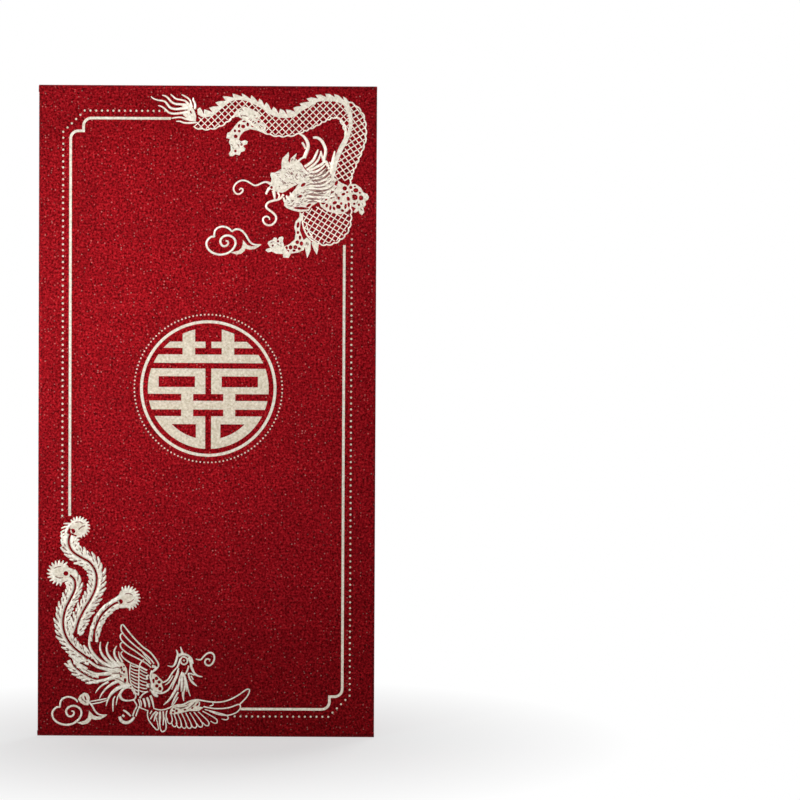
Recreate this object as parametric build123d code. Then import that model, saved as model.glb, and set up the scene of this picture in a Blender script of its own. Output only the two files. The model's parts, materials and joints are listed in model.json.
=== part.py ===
from build123d import *
import os
from math import atan2, cos, hypot, pi, sin, sqrt

# A gift envelope folded from one die-cut sheet of card, with stamped foil on its front.
# It stands on its lower edge: x runs across, z runs up, the front faces -y and the flap is at +y.
# All lengths are in millimetres.

# The folded envelope
WIDTH = 87.0
HEIGHT = 168.0
PAPER = 0.3
POCKET_GAP = 1.0
GLUE_LINE = 0.05
FOIL = 0.05

# The closing flap, a segment of a circle, and the tab that its tip tucks under
FLAP_DEPTH = 28.8
FLAP_CLEARANCE = 0.1
FLAP_ROOT_GAP = 0.05
MOUTH_DROP = 2.0
TAB_RADIUS = 8.8
TAB_BELOW_FLAP = 1.8
TAB_CLEARANCE = 0.1
TAB_RAMP_START = 0.2
TAB_RAMP_CLEARANCE = 0.3
TAB_HINGE_GAP = 0.05
SLIT_WIDTH = 0.2
HOOK_REACH = 3.0
HOOK_DIP = 0.7
HOOK_RISE = 1.6
HOOK_LOW_SHARE = 0.36

# The glued side seam and the bottom flap
SEAM_INSET = 2.3
STRIP_WIDTH = 14.0
STRIP_TAPER = 3.0
SEAM_GLUE_WIDTH = 8.0
SEAM_GLUE_MARGIN = 1.5
BOTTOM_FLAP_HEIGHT = 11.0
BOTTOM_FLAP_INSET = 9.2
BOTTOM_GLUE_HEIGHT = 5.0
BOTTOM_GLUE_MARGIN = 2.0
EDGE_GAP = 0.5

# The foil border: a line with stepped corners, and a row of dots outside it
BORDER_SIDE = 8.25
BORDER_TOP = 8.6
BORDER_BOTTOM = 7.3
BORDER_LINE = 0.65
STEP_SIZE = 3.3
STEP_RADIUS = 2.0
TOP_LINE_END = 34.0
LEFT_LINE_END = 57.0
RIGHT_LINE_END = 127.1
BOTTOM_LINE_END = 34.5
DOT_SIZE = 0.56
DOT_SIDES = 6
DOT_OFFSET = 1.92
DOT_PITCH = 1.513
DOT_CORNER = 5.5
DOT_LINE_GAP = 1.5

# The foil ring round the emblem, and its dots
RING_CENTRE_ACROSS = 0.37
RING_CENTRE_HEIGHT = 90.0
RING_RADIUS = 17.2
RING_LINE = 0.72
RING_DOT_SIZE = 0.42
RING_DOT_OFFSET = 1.85
RING_DOT_COUNT = 120

# Faces of the paper layers, from the front of the foil to the back of the tab
DEPTH = FOIL + PAPER + POCKET_GAP + PAPER + FLAP_CLEARANCE + PAPER + TAB_CLEARANCE + PAPER
FOIL_OUT = -DEPTH / 2
FRONT_OUT = FOIL_OUT + FOIL
FRONT_IN = FRONT_OUT + PAPER
BACK_IN = FRONT_IN + POCKET_GAP
BACK_OUT = BACK_IN + PAPER
FLAP_IN = BACK_OUT + FLAP_CLEARANCE
FLAP_OUT = FLAP_IN + PAPER
TAB_IN = FLAP_OUT + TAB_CLEARANCE
STRIP_OUT = BACK_IN - GLUE_LINE
STRIP_IN = STRIP_OUT - PAPER
BOTTOM_FLAP_IN = BACK_OUT + GLUE_LINE
BOTTOM_FLAP_OUT = BOTTOM_FLAP_IN + PAPER

# Each fold is half a ring of paper, from the front panel's face to that of the layer it turns into
TOP_FOLD_RADIUS = (FLAP_OUT - FRONT_OUT) / 2
BOTTOM_FOLD_RADIUS = (BOTTOM_FLAP_OUT - FRONT_OUT) / 2
SIDE_FOLD_RADIUS = (BACK_OUT - FRONT_OUT) / 2
SEAM_FOLD_RADIUS = (STRIP_OUT - FRONT_OUT) / 2
FLAP_AXIS_Y = FRONT_OUT + TOP_FOLD_RADIUS
FLAP_AXIS_Z = HEIGHT - TOP_FOLD_RADIUS

# Edges of the panels
LEFT = -WIDTH / 2
RIGHT = WIDTH / 2
SIDE_FOLD_X = LEFT + SIDE_FOLD_RADIUS
SEAM_FOLD_X = RIGHT - SEAM_FOLD_RADIUS
SEAM_EDGE = RIGHT - SEAM_INSET
FOLD_LOW = BOTTOM_FOLD_RADIUS + EDGE_GAP
FOLD_HIGH = HEIGHT - MOUTH_DROP

# The tab's root line, about which it lifts, lies in the middle of the back panel's paper
TAB_AXIS_Y = BACK_IN + PAPER / 2
TAB_AXIS_Z = HEIGHT - FLAP_DEPTH - TAB_BELOW_FLAP


def box(x_low, x_high, z_low, z_high):
    """A rectangle between two places across and two places up."""
    middle = Pos((x_low + x_high) / 2, (z_low + z_high) / 2)
    return middle * Rectangle(x_high - x_low, z_high - z_low)


def layer(outline, y_low, y_high):
    """A flat sheet of an outline drawn in x and z, between two depths."""
    return extrude(Plane.XZ.offset(-y_high) * outline, y_high - y_low)


def half_disc(radius, skirt):
    """A half disc on the tab's root line, with a straight skirt below the line."""
    upper = Pos(0, TAB_AXIS_Z) * Circle(radius) & box(-radius, radius, TAB_AXIS_Z, TAB_AXIS_Z + radius)
    return upper + box(-radius, radius, TAB_AXIS_Z - skirt, TAB_AXIS_Z)


def fold(radius, start, across, along, length):
    """Half a ring of paper, bulging square to across and along, and drawn out along its crease."""
    ring = Circle(radius) - Circle(radius - PAPER)
    half = ring & Pos(0, radius / 2) * Rectangle(2 * radius, radius)
    return extrude(Plane(start, x_dir=across, z_dir=along) * half, length)


def front_panel():
    """The whole front, narrowed at the sides where the paper turns into the side folds."""
    sheet = box(LEFT, RIGHT, BOTTOM_FOLD_RADIUS, FLAP_AXIS_Z)
    sheet -= box(LEFT, SIDE_FOLD_X, FOLD_LOW, FOLD_HIGH)
    sheet -= box(SEAM_FOLD_X, RIGHT, FOLD_LOW, FOLD_HIGH)
    return layer(sheet, FRONT_OUT, FRONT_IN)


def hook_slit(side):
    """The small hooked cut at one end of the tab's slit, which stops the paper from tearing."""
    start = (side * TAB_RADIUS, TAB_AXIS_Z)
    low = (side * (TAB_RADIUS + HOOK_LOW_SHARE * HOOK_REACH), TAB_AXIS_Z - HOOK_DIP)
    end = (side * (TAB_RADIUS + HOOK_REACH), TAB_AXIS_Z + HOOK_RISE)
    return make_face(Wire([ThreePointArc(start, low, end)]).offset_2d(SLIT_WIDTH / 2))


def back_panel():
    """The back, from the side fold to its free edge at the seam, with the tab's cut-out."""
    sheet = box(SIDE_FOLD_X, SEAM_EDGE, FOLD_LOW, FOLD_HIGH)
    sheet -= half_disc(TAB_RADIUS + SLIT_WIDTH, PAPER / 2 + TAB_HINGE_GAP)
    for side in (-1, 1):
        sheet -= hook_slit(side)
    return layer(sheet, BACK_IN, BACK_OUT)


def side_strip():
    """The glue strip inside the seam, with tapered ends."""
    inner = RIGHT - STRIP_WIDTH
    corners = [(SEAM_FOLD_X, FOLD_LOW), (SEAM_FOLD_X, FOLD_HIGH)]
    corners += [(inner, FOLD_HIGH - STRIP_TAPER), (inner, FOLD_LOW + STRIP_TAPER)]
    return layer(make_face(Polyline(*corners, close=True)), STRIP_IN, STRIP_OUT)


def seam_glue():
    """The line of glue between the strip and the back panel."""
    outer = SEAM_EDGE - SEAM_GLUE_MARGIN
    low = FOLD_LOW + STRIP_TAPER
    high = FOLD_HIGH - STRIP_TAPER
    return layer(box(outer - SEAM_GLUE_WIDTH, outer, low, high), STRIP_OUT, BACK_IN)


def bottom_flap():
    """The trapezoid that closes the bottom, over the back panel and the seam."""
    top_left = LEFT + BOTTOM_FLAP_INSET
    top_right = RIGHT - BOTTOM_FLAP_INSET
    corners = [(LEFT, BOTTOM_FOLD_RADIUS), (RIGHT, BOTTOM_FOLD_RADIUS)]
    corners += [(top_right, BOTTOM_FLAP_HEIGHT), (top_left, BOTTOM_FLAP_HEIGHT)]
    return layer(make_face(Polyline(*corners, close=True)), BOTTOM_FLAP_IN, BOTTOM_FLAP_OUT)


def bottom_glue():
    """The line of glue under the bottom flap."""
    high = BOTTOM_FLAP_HEIGHT - BOTTOM_GLUE_MARGIN
    half = WIDTH / 2 - BOTTOM_FLAP_INSET - BOTTOM_GLUE_MARGIN
    return layer(box(-half, half, high - BOTTOM_GLUE_HEIGHT, high), BACK_OUT, BOTTOM_FLAP_IN)


def side_fold():
    """The fold from the front to the back panel."""
    start = (SIDE_FOLD_X, FRONT_OUT + SIDE_FOLD_RADIUS, FOLD_LOW)
    return fold(SIDE_FOLD_RADIUS, start, (0, 1, 0), (0, 0, 1), FOLD_HIGH - FOLD_LOW)


def seam_fold():
    """The fold from the front panel to the glue strip."""
    start = (SEAM_FOLD_X, FRONT_OUT + SEAM_FOLD_RADIUS, FOLD_LOW)
    return fold(SEAM_FOLD_RADIUS, start, (0, -1, 0), (0, 0, 1), FOLD_HIGH - FOLD_LOW)


def bottom_fold():
    """The fold from the front panel to the bottom flap."""
    start = (LEFT, FRONT_OUT + BOTTOM_FOLD_RADIUS, BOTTOM_FOLD_RADIUS)
    return fold(BOTTOM_FOLD_RADIUS, start, (0, -1, 0), (1, 0, 0), WIDTH)


def top_fold():
    """The crease that the flap turns on."""
    return fold(TOP_FOLD_RADIUS, (LEFT, FLAP_AXIS_Y, FLAP_AXIS_Z), (0, 1, 0), (1, 0, 0), WIDTH)


def top_flap():
    """The closing flap: a chord along the crease and one round edge."""
    root = FLAP_AXIS_Z - FLAP_ROOT_GAP
    edge = ThreePointArc((LEFT, root), (0, HEIGHT - FLAP_DEPTH), (RIGHT, root))
    return layer(make_face([edge, Line((LEFT, root), (RIGHT, root))]), FLAP_IN, FLAP_OUT)


def lock_tab():
    """The half-round tab, bent outward just above its root so that it lies over the flap's tip."""
    rise = TAB_IN - BACK_IN
    ramp = TAB_BELOW_FLAP - TAB_RAMP_START - TAB_RAMP_CLEARANCE
    bend_radius = (ramp ** 2 + rise ** 2) / (4 * rise)
    half_bend = atan2(rise, ramp)
    aside = bend_radius * (1 - cos(half_bend))
    up = bend_radius * sin(half_bend)
    outer = TAB_AXIS_Y + rise
    ramp_low = TAB_AXIS_Z + TAB_RAMP_START
    ramp_high = ramp_low + ramp
    middle = (TAB_AXIS_Y + rise / 2, ramp_low + ramp / 2)
    spine = [
        Line((TAB_AXIS_Y, TAB_AXIS_Z), (TAB_AXIS_Y, ramp_low)),
        ThreePointArc((TAB_AXIS_Y, ramp_low), (TAB_AXIS_Y + aside, ramp_low + up), middle),
        ThreePointArc(middle, (outer - aside, ramp_high - up), (outer, ramp_high)),
        Line((outer, ramp_high), (outer, TAB_AXIS_Z + TAB_RADIUS + PAPER)),
    ]
    profile = make_face(Wire(spine).offset_2d(PAPER / 2))
    bent_strip = extrude(Plane.YZ * profile, TAB_RADIUS, both=True)
    return bent_strip & layer(half_disc(TAB_RADIUS, PAPER), BACK_IN - PAPER, TAB_IN + 2 * PAPER)


def border_face(grow):
    """The inside of the border: a rectangle with two round steps at each corner, grown all round."""
    half = WIDTH / 2 - BORDER_SIDE
    top = HEIGHT - BORDER_TOP
    reach = STEP_SIZE + STEP_RADIUS
    arc = STEP_RADIUS + grow
    slope = arc / sqrt(2)
    step = STEP_SIZE - grow
    edges = []
    for level in (BORDER_BOTTOM, top):
        inward = 1 if level < top else -1
        edges.append(Line((reach - half, level - inward * grow), (half - reach, level - inward * grow)))
        for side in (-1, 1):
            def place(across, up, side=side, level=level, inward=inward):
                return (side * (half - across), level + inward * up)
            notch = place(step, step)
            edges.append(ThreePointArc(place(reach, -grow), place(reach - slope, STEP_RADIUS - slope),
                                       place(step, STEP_RADIUS)))
            edges.append(Line(place(step, STEP_RADIUS), notch))
            edges.append(Line(notch, place(STEP_RADIUS, step)))
            edges.append(ThreePointArc(place(STEP_RADIUS, step), place(STEP_RADIUS - slope, reach - slope),
                                       place(-grow, reach)))
    for side in (-1, 1):
        edge = side * (half + grow)
        edges.append(Line((edge, BORDER_BOTTOM + reach), (edge, top - reach)))
    return make_face(edges)


def border_line_foil():
    """The border's line, left out at two corners."""
    line = border_face(BORDER_LINE / 2) - border_face(-BORDER_LINE / 2)
    line -= box(LEFT + TOP_LINE_END, RIGHT, RIGHT_LINE_END, HEIGHT)
    line -= box(LEFT, RIGHT - BOTTOM_LINE_END, 0, LEFT_LINE_END)
    return layer(line, FOIL_OUT, FRONT_OUT)


def dots_along(route):
    """Places of evenly spaced dots along a route of straight runs."""
    places = [route[0]]
    for start, end in zip(route, route[1:]):
        across = end[0] - start[0]
        up = end[1] - start[1]
        count = round(hypot(across, up) / DOT_PITCH)
        for index in range(count):
            share = (index + 1) / count
            places.append((start[0] + across * share, start[1] + up * share))
    return places


def dot_group(places, size):
    """One small foil dot of a size at each place."""
    dot = layer(RegularPolygon(size / 2, DOT_SIDES), FOIL_OUT, FRONT_OUT)
    return Compound(children=[Pos(x, 0, z) * dot for x, z in places])


def border_dot_foil():
    """The rows of dots outside the border's line, slanting across its two corners."""
    left = LEFT + BORDER_SIDE - DOT_OFFSET
    right = -left
    top = HEIGHT - BORDER_TOP + DOT_OFFSET
    bottom = BORDER_BOTTOM - DOT_OFFSET
    upper = [(LEFT + TOP_LINE_END - DOT_LINE_GAP, top), (left + DOT_CORNER, top)]
    upper += [(left, top - DOT_CORNER), (left, LEFT_LINE_END)]
    lower = [(RIGHT - BOTTOM_LINE_END - DOT_LINE_GAP, bottom), (right - DOT_CORNER, bottom)]
    lower += [(right, bottom + DOT_CORNER), (right, RIGHT_LINE_END + DOT_LINE_GAP)]
    return dot_group(dots_along(upper) + dots_along(lower), DOT_SIZE)


def ring_foil():
    """The ring round the emblem."""
    ring = Circle(RING_RADIUS + RING_LINE / 2) - Circle(RING_RADIUS - RING_LINE / 2)
    return layer(Pos(RING_CENTRE_ACROSS, RING_CENTRE_HEIGHT) * ring, FOIL_OUT, FRONT_OUT)


def ring_dot_foil():
    """The circle of dots round the ring."""
    radius = RING_RADIUS + RING_DOT_OFFSET
    turns = [2 * pi * index / RING_DOT_COUNT for index in range(RING_DOT_COUNT)]
    places = [
        (RING_CENTRE_ACROSS + radius * cos(turn), RING_CENTRE_HEIGHT + radius * sin(turn)) for turn in turns
    ]
    return dot_group(places, RING_DOT_SIZE)


PIECES = [
    front_panel, back_panel, side_strip, seam_glue, bottom_flap, bottom_glue,
    side_fold, seam_fold, bottom_fold, top_fold, top_flap, lock_tab,
    border_line_foil, border_dot_foil, ring_foil, ring_dot_foil,
]

os.makedirs("parts", exist_ok=True)
for piece in PIECES:
    export_step(piece(), f"parts/{piece.__name__}.step")
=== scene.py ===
import json
from math import cos, hypot, pi, radians, sin, tanh
from random import Random

import bmesh
import bpy
from mathutils import Matrix, Vector

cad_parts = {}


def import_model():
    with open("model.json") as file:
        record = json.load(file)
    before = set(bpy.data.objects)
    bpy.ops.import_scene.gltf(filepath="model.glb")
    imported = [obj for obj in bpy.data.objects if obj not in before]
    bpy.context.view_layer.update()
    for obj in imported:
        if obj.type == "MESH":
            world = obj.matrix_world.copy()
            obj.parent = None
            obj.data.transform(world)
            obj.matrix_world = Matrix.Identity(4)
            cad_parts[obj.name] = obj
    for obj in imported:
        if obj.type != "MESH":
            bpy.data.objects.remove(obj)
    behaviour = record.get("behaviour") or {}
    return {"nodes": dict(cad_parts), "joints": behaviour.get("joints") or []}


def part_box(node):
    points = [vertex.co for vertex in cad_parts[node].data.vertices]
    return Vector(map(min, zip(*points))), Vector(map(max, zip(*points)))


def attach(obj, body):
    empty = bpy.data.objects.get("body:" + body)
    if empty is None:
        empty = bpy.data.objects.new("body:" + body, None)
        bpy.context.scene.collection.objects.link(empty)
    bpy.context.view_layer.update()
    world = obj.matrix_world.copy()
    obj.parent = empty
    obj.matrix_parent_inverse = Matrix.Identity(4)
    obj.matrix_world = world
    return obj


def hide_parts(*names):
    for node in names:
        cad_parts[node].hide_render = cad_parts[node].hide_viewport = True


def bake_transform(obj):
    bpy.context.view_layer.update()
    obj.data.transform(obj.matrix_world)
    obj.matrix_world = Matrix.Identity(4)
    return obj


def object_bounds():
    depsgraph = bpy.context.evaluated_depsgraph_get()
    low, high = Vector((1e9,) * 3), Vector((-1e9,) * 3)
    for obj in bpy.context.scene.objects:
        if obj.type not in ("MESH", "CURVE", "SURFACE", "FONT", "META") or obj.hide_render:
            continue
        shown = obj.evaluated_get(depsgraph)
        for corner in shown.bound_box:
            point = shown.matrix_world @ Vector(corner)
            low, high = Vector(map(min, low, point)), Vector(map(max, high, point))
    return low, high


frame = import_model()
cad_box = [list(corner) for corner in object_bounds()]

# Lengths are in metres; MM turns a size in millimetres into them.
MM = 0.001
LOW, HIGH = (Vector(corner) for corner in cad_box)
JOINT_AT = {joint["name"]: Vector(joint["pos_m"]) for joint in frame["joints"]}

# The card
FRONT_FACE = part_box("front_panel")[0].y
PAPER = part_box("front_panel")[1].y - FRONT_FACE
FOIL = FRONT_FACE - LOW.y
SAME_PLACE = PAPER / 30
SLICE_NEAR = PAPER / 50
FLAT_WITHIN = PAPER / 100
FOLD_STEPS = 12
STRIP_TAPER = 3 * MM
SLIT_WIDTH = 0.08 * MM
HOOK_REACH = 3 * MM
HOOK_RISE = 1.6 * MM
HOOK_BOW = 5.5 * MM
HOOK_STEPS = 12
ARC_STEPS = 48
# The width of the painted highlight along the cut edges
CUT_LINE = 0.17 * MM
TAB_LAP = 0.05 * MM
BOTTOM_FLAP_INSET = 9.2 * MM
RAMP_CLEARANCE = 0.05 * MM

# Where the photograph shows the front's corners, in pixels
FRONT_TOP_PX = 85.0
FRONT_BOTTOM_PX = 737.5
TOP_LEFT_PX = 39.0
TOP_RIGHT_PX = 376.5
BOTTOM_LEFT_PX = 38.3
BOTTOM_RIGHT_PX = 371.8
PX = (HIGH.z - LOW.z) / (FRONT_BOTTOM_PX - FRONT_TOP_PX)


# Colours and nodes

# A Mix node's colour sockets, by number because their names repeat
MIX_UNDER, MIX_OVER, MIX_RESULT = 6, 7, 2


def linear(code):
    """An sRGB hex colour as linear RGBA."""
    parts = [int(code[place:place + 2], 16) / 255 for place in (1, 3, 5)]
    return (*[part / 12.92 if part <= 0.04045 else ((part + 0.055) / 1.055) ** 2.4 for part in parts], 1.0)


def add(tree, kind, settings=None, inputs=None):
    """One shader node, with its settings, and its inputs set or linked."""
    node = tree.nodes.new("ShaderNode" + kind)
    for name, value in (settings or {}).items():
        setattr(node, name, value)
    for name, value in (inputs or {}).items():
        if isinstance(value, bpy.types.NodeSocket):
            tree.links.new(value, node.inputs[name])
        else:
            node.inputs[name].default_value = value
    return node


def new_material(name):
    """An empty node material, its tree and its object coordinates."""
    material = bpy.data.materials.new(name)
    material.use_nodes = True
    tree = material.node_tree
    tree.nodes.clear()
    return material, tree, add(tree, "TexCoord").outputs["Object"]


def laid_tones(tree, ground, layers):
    """A ground colour with others laid over it, each by a pattern between two values, up to a share."""
    tone = linear(ground)
    for colour, pattern, start, end, most in layers:
        share = add(tree, "MapRange", None, {
            "Value": pattern, "From Min": start, "From Max": end, "To Max": most})
        tone = add(tree, "Mix", {"data_type": "RGBA"}, {
            "Factor": share.outputs["Result"], MIX_UNDER: tone, MIX_OVER: linear(colour)}).outputs[MIX_RESULT]
    return tone


# Pearl card: solid-dyed red stock with mica flakes, calendered to a satin. It gives the eye a deep red that
# glows where the light strikes it, a tight sandy grain, and stray pale glints. The glints are painted glints:
# pale flecks laid into the colour where the flakes lie, in place of their sparkle. The real flakes and the
# grain between them measure about 0.05 mm: both are drawn coarser, as coarse as they need to show.
CARD_DEEP = "#4a0206"
CARD_MAIN = "#930f18"
CARD_LIGHT = "#c8262c"
# The painted glint's colour: pale flecks standing in for the flakes' sparkle
CARD_PAINTED_GLINT = "#c8b3a5"
GRAIN_MM = 0.55
MOTTLE_MM = 9.0
GLINT_CELL_MM = 0.85
GLINT_MM = 0.22
GLINT_CHANCE = 0.3
GLINT_FALL = 1.7
PAINTED_GLINT_STRENGTH = 0.36


def pearl_card():
    material, tree, place = new_material("pearl_card_red")
    grain = add(tree, "TexNoise", None, {
        "Vector": place, "Scale": 1 / (GRAIN_MM * MM), "Detail": 3.0, "Roughness": 0.62}).outputs["Fac"]
    mottle = add(tree, "TexNoise", None, {
        "Vector": place, "Scale": 1 / (MOTTLE_MM * MM), "Detail": 2.0}).outputs["Fac"]
    flakes = add(tree, "TexVoronoi", None, {"Vector": place, "Scale": 1 / (GLINT_CELL_MM * MM)})
    near = add(tree, "MapRange", None, {
        "Value": flakes.outputs["Distance"], "From Min": GLINT_MM / GLINT_CELL_MM / 2,
        "From Max": GLINT_MM / GLINT_CELL_MM, "To Min": 1.0, "To Max": 0.0})
    lot = add(tree, "SeparateColor", None, {"Color": flakes.outputs["Color"]})
    chosen = add(tree, "MapRange", None, {"Value": lot.outputs["Red"], "From Min": GLINT_CHANCE})
    faint = add(tree, "Math", {"operation": "POWER"}, {0: chosen.outputs["Result"], 1: GLINT_FALL})
    painted_glint = add(tree, "Math", {"operation": "MULTIPLY"}, {
        0: near.outputs["Result"], 1: faint.outputs["Value"]}).outputs["Value"]
    # The grain and mottle tones are the card's own; the pale flecks laid last are painted glints
    tone = laid_tones(tree, CARD_DEEP, [
        (CARD_MAIN, grain, 0.35, 0.53, 1.0), (CARD_LIGHT, grain, 0.54, 0.74, 1.0),
        (CARD_DEEP, mottle, 0.35, 0.75, 0.22), (CARD_PAINTED_GLINT, painted_glint, 0.0, 1.0, PAINTED_GLINT_STRENGTH)])
    satin = add(tree, "MapRange", None, {
        "Value": grain, "From Min": 0.3, "From Max": 0.7, "To Min": 0.58, "To Max": 0.4})
    bump = add(tree, "Bump", None, {"Height": grain, "Strength": 0.35, "Distance": 0.03 * MM})
    shader = add(tree, "BsdfPrincipled", None, {
        "Base Color": tone, "Metallic": 0.2, "Specular IOR Level": 0.02,
        "Roughness": satin.outputs["Result"], "Normal": bump.outputs["Normal"]})
    add(tree, "OutputMaterial", None, {"Surface": shader.outputs["BSDF"]})
    return material


# Cut card edge: the raw fibres where the die went through. They catch the light as a thin rosy line. The real
# fibres are about 0.02 mm wide: they are drawn coarser, so that they show. The same colour is also painted in
# a narrow band on the panels' faces along their cut edges: a painted highlight for the edges catching the
# light.
EDGE_MAIN = "#c07f7b"
EDGE_FIBRE = "#e2bfb9"
FIBRE_MM = 0.25


def cut_edge_and_painted_highlight():
    material, tree, place = new_material("cut_edge_and_painted_highlight")
    fibre = add(tree, "TexNoise", None, {
        "Vector": place, "Scale": 1 / (FIBRE_MM * MM), "Detail": 3.0}).outputs["Fac"]
    tone = laid_tones(tree, EDGE_MAIN, [(EDGE_FIBRE, fibre, 0.35, 0.7, 1.0)])
    bump = add(tree, "Bump", None, {"Height": fibre, "Strength": 0.4, "Distance": 0.04 * MM})
    shader = add(tree, "BsdfPrincipled", None, {
        "Base Color": tone, "Roughness": 0.8, "Specular IOR Level": 0.15, "Normal": bump.outputs["Normal"]})
    add(tree, "OutputMaterial", None, {"Surface": shader.outputs["BSDF"]})
    return material


# Hot-stamped foil: champagne aluminium film pressed into grained card. It shows a soft metal shine, broken
# into pale and duller specks where the grain under it lifts the film. The real specks measure about 0.1 mm:
# they are drawn coarser, so that they show. The tones go from dull to bright.
STAMPED_TONES = ("#ada089", "#c8bca9", "#ded7c7")
# The sets after the first are copies of the same foil painted lighter, step by step: painted light, for the
# brighter shine of the foil on the ring and border lines, on the phoenix and clouds, and most on the dragon.
PAINTED_LIGHTER_TONES = ("#b7ac98", "#d2c8b7", "#e6e0d4")
PAINTED_LIGHTER_STROKE_TONES = ("#bdb4a3", "#dbd5c8", "#ebe7de")
PAINTED_BRIGHTER_TONES = ("#c2b8a5", "#dfd6c7", "#f2ece1")
PAINTED_BRIGHTEST_TONES = ("#d8cdbb", "#f3eadb", "#fffbf3")
FOIL_GRAIN_MM = 0.5
# Roughness in the dull specks and in the bright ones
SHINY = (0.42, 0.3)
SATIN = (0.55, 0.45)


def stamped_foil(name, tones, gloss=SHINY):
    """Foil in a set of tones; a lighter set is the same foil with a brighter shine painted into its colour.
    """
    material, tree, place = new_material(name)
    grain = add(tree, "TexNoise", None, {
        "Vector": place, "Scale": 1 / (FOIL_GRAIN_MM * MM), "Detail": 3.0, "Roughness": 0.6}).outputs["Fac"]
    dull, main, bright = tones
    tone = laid_tones(tree, dull, [(main, grain, 0.28, 0.5, 1.0), (bright, grain, 0.5, 0.72, 1.0)])
    shine = add(tree, "MapRange", None, {
        "Value": grain, "From Min": 0.3, "From Max": 0.7, "To Min": gloss[0], "To Max": gloss[1]})
    bump = add(tree, "Bump", None, {"Height": grain, "Strength": 0.3, "Distance": 0.03 * MM})
    shader = add(tree, "BsdfPrincipled", None, {
        "Base Color": tone, "Metallic": 0.75, "Roughness": shine.outputs["Result"],
        "Normal": bump.outputs["Normal"]})
    add(tree, "OutputMaterial", None, {"Surface": shader.outputs["BSDF"]})
    return material


# Rubbed foil: the same film worn thin along the finest lines. The red card shows through it as brown.
RUBBED_DARK = "#6b382f"
RUBBED_PALE = "#b3968a"


def rubbed_foil():
    material, tree, place = new_material("rubbed_champagne_foil")
    grain = add(tree, "TexNoise", None, {
        "Vector": place, "Scale": 1 / (FOIL_GRAIN_MM * MM), "Detail": 3.0}).outputs["Fac"]
    tone = laid_tones(tree, RUBBED_DARK, [(RUBBED_PALE, grain, 0.3, 0.7, 1.0)])
    shine = add(tree, "MapRange", None, {
        "Value": grain, "From Min": 0.3, "From Max": 0.7, "To Min": 0.6, "To Max": 0.4})
    shader = add(tree, "BsdfPrincipled", None, {
        "Base Color": tone, "Metallic": 0.4, "Roughness": shine.outputs["Result"]})
    add(tree, "OutputMaterial", None, {"Surface": shader.outputs["BSDF"]})
    return material


# Dried envelope glue: a thin milky film of starch paste, with upright streaks from the roller that laid it.
GLUE_MAIN = "#d8cdb2"
GLUE_STREAK = "#b99e84"
STREAK_MM = 0.8
STREAK_DRAW = 0.1


def dried_glue():
    material, tree, place = new_material("dried_starch_glue")
    drawn = add(tree, "Mapping", None, {"Vector": place, "Scale": (1.0, 1.0, STREAK_DRAW)})
    streak = add(tree, "TexNoise", None, {
        "Vector": drawn.outputs["Vector"], "Scale": 1 / (STREAK_MM * MM), "Detail": 2.0}).outputs["Fac"]
    tone = laid_tones(tree, GLUE_MAIN, [(GLUE_STREAK, streak, 0.0, 1.0, 1.0)])
    shine = add(tree, "MapRange", None, {
        "Value": streak, "From Min": 0.3, "From Max": 0.7, "To Min": 0.35, "To Max": 0.55})
    shader = add(tree, "BsdfPrincipled", None, {"Base Color": tone, "Roughness": shine.outputs["Result"]})
    add(tree, "OutputMaterial", None, {"Surface": shader.outputs["BSDF"]})
    return material


CARD = pearl_card()
CARD_EDGE_AND_PAINTED_HIGHLIGHT = cut_edge_and_painted_highlight()
STAMPED_FOIL = stamped_foil("stamped_champagne_foil", STAMPED_TONES)
# Copies of the same foil painted lighter, step by step: painted light for a brighter shine
PAINTED_LIGHTER_FOIL = stamped_foil("champagne_foil_painted_lighter", PAINTED_LIGHTER_TONES)
PAINTED_LIGHTER_STROKE_FOIL = stamped_foil("champagne_foil_painted_lighter_for_strokes", PAINTED_LIGHTER_STROKE_TONES, SATIN)
PAINTED_BRIGHTER_FOIL = stamped_foil("champagne_foil_painted_brighter", PAINTED_BRIGHTER_TONES)
PAINTED_BRIGHTEST_FOIL = stamped_foil("champagne_foil_painted_brightest", PAINTED_BRIGHTEST_TONES)
RUBBED_FOIL = rubbed_foil()
GLUE = dried_glue()


# Making pieces

def new_object(bm, name, materials):
    """A bmesh as a named object in the scene, with its materials."""
    mesh = bpy.data.meshes.new(name)
    bm.to_mesh(mesh)
    bm.free()
    for material in materials:
        mesh.materials.append(material)
    piece = bpy.data.objects.new(name, mesh)
    bpy.context.scene.collection.objects.link(piece)
    return piece


def card_piece(bm, name):
    """A sheet drawn at the middle of the card, given the card's thickness and paler cut edges.
    The thickness becomes part of the mesh."""
    bmesh.ops.remove_doubles(bm, verts=bm.verts, dist=SAME_PLACE)
    bmesh.ops.recalc_face_normals(bm, faces=bm.faces)
    piece = new_object(bm, name, [CARD, CARD_EDGE_AND_PAINTED_HIGHLIGHT])
    wall = piece.modifiers.new("card_thickness", "SOLIDIFY")
    wall.thickness = PAPER
    wall.offset = 0
    wall.use_even_offset = True
    wall.material_offset_rim = 1
    thin = piece.data
    thick = piece.evaluated_get(bpy.context.evaluated_depsgraph_get())
    piece.data = bpy.data.meshes.new_from_object(thick)
    piece.modifiers.remove(wall)
    bpy.data.meshes.remove(thin)
    piece.data.name = name
    return piece


def smooth_bends(bm):
    """Smooth shading on the bent faces of a folded sheet and flat shading on its panels."""
    for face in bm.faces:
        depths = [vert.co.y for vert in face.verts]
        face.smooth = max(depths) - min(depths) > FLAT_WITHIN


def paint_cut_highlights(bm, faces, is_cut):
    """A narrow pale band painted along the cut edges of a flat panel: a painted highlight where the edges
    catch the light, in the colour of the cut card.
    """
    made = bmesh.ops.inset_region(bm, faces=faces, thickness=CUT_LINE, use_boundary=True)
    for face in made["faces"]:
        face.material_index = 1 if is_cut(face.calc_center_median()) else 0


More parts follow.
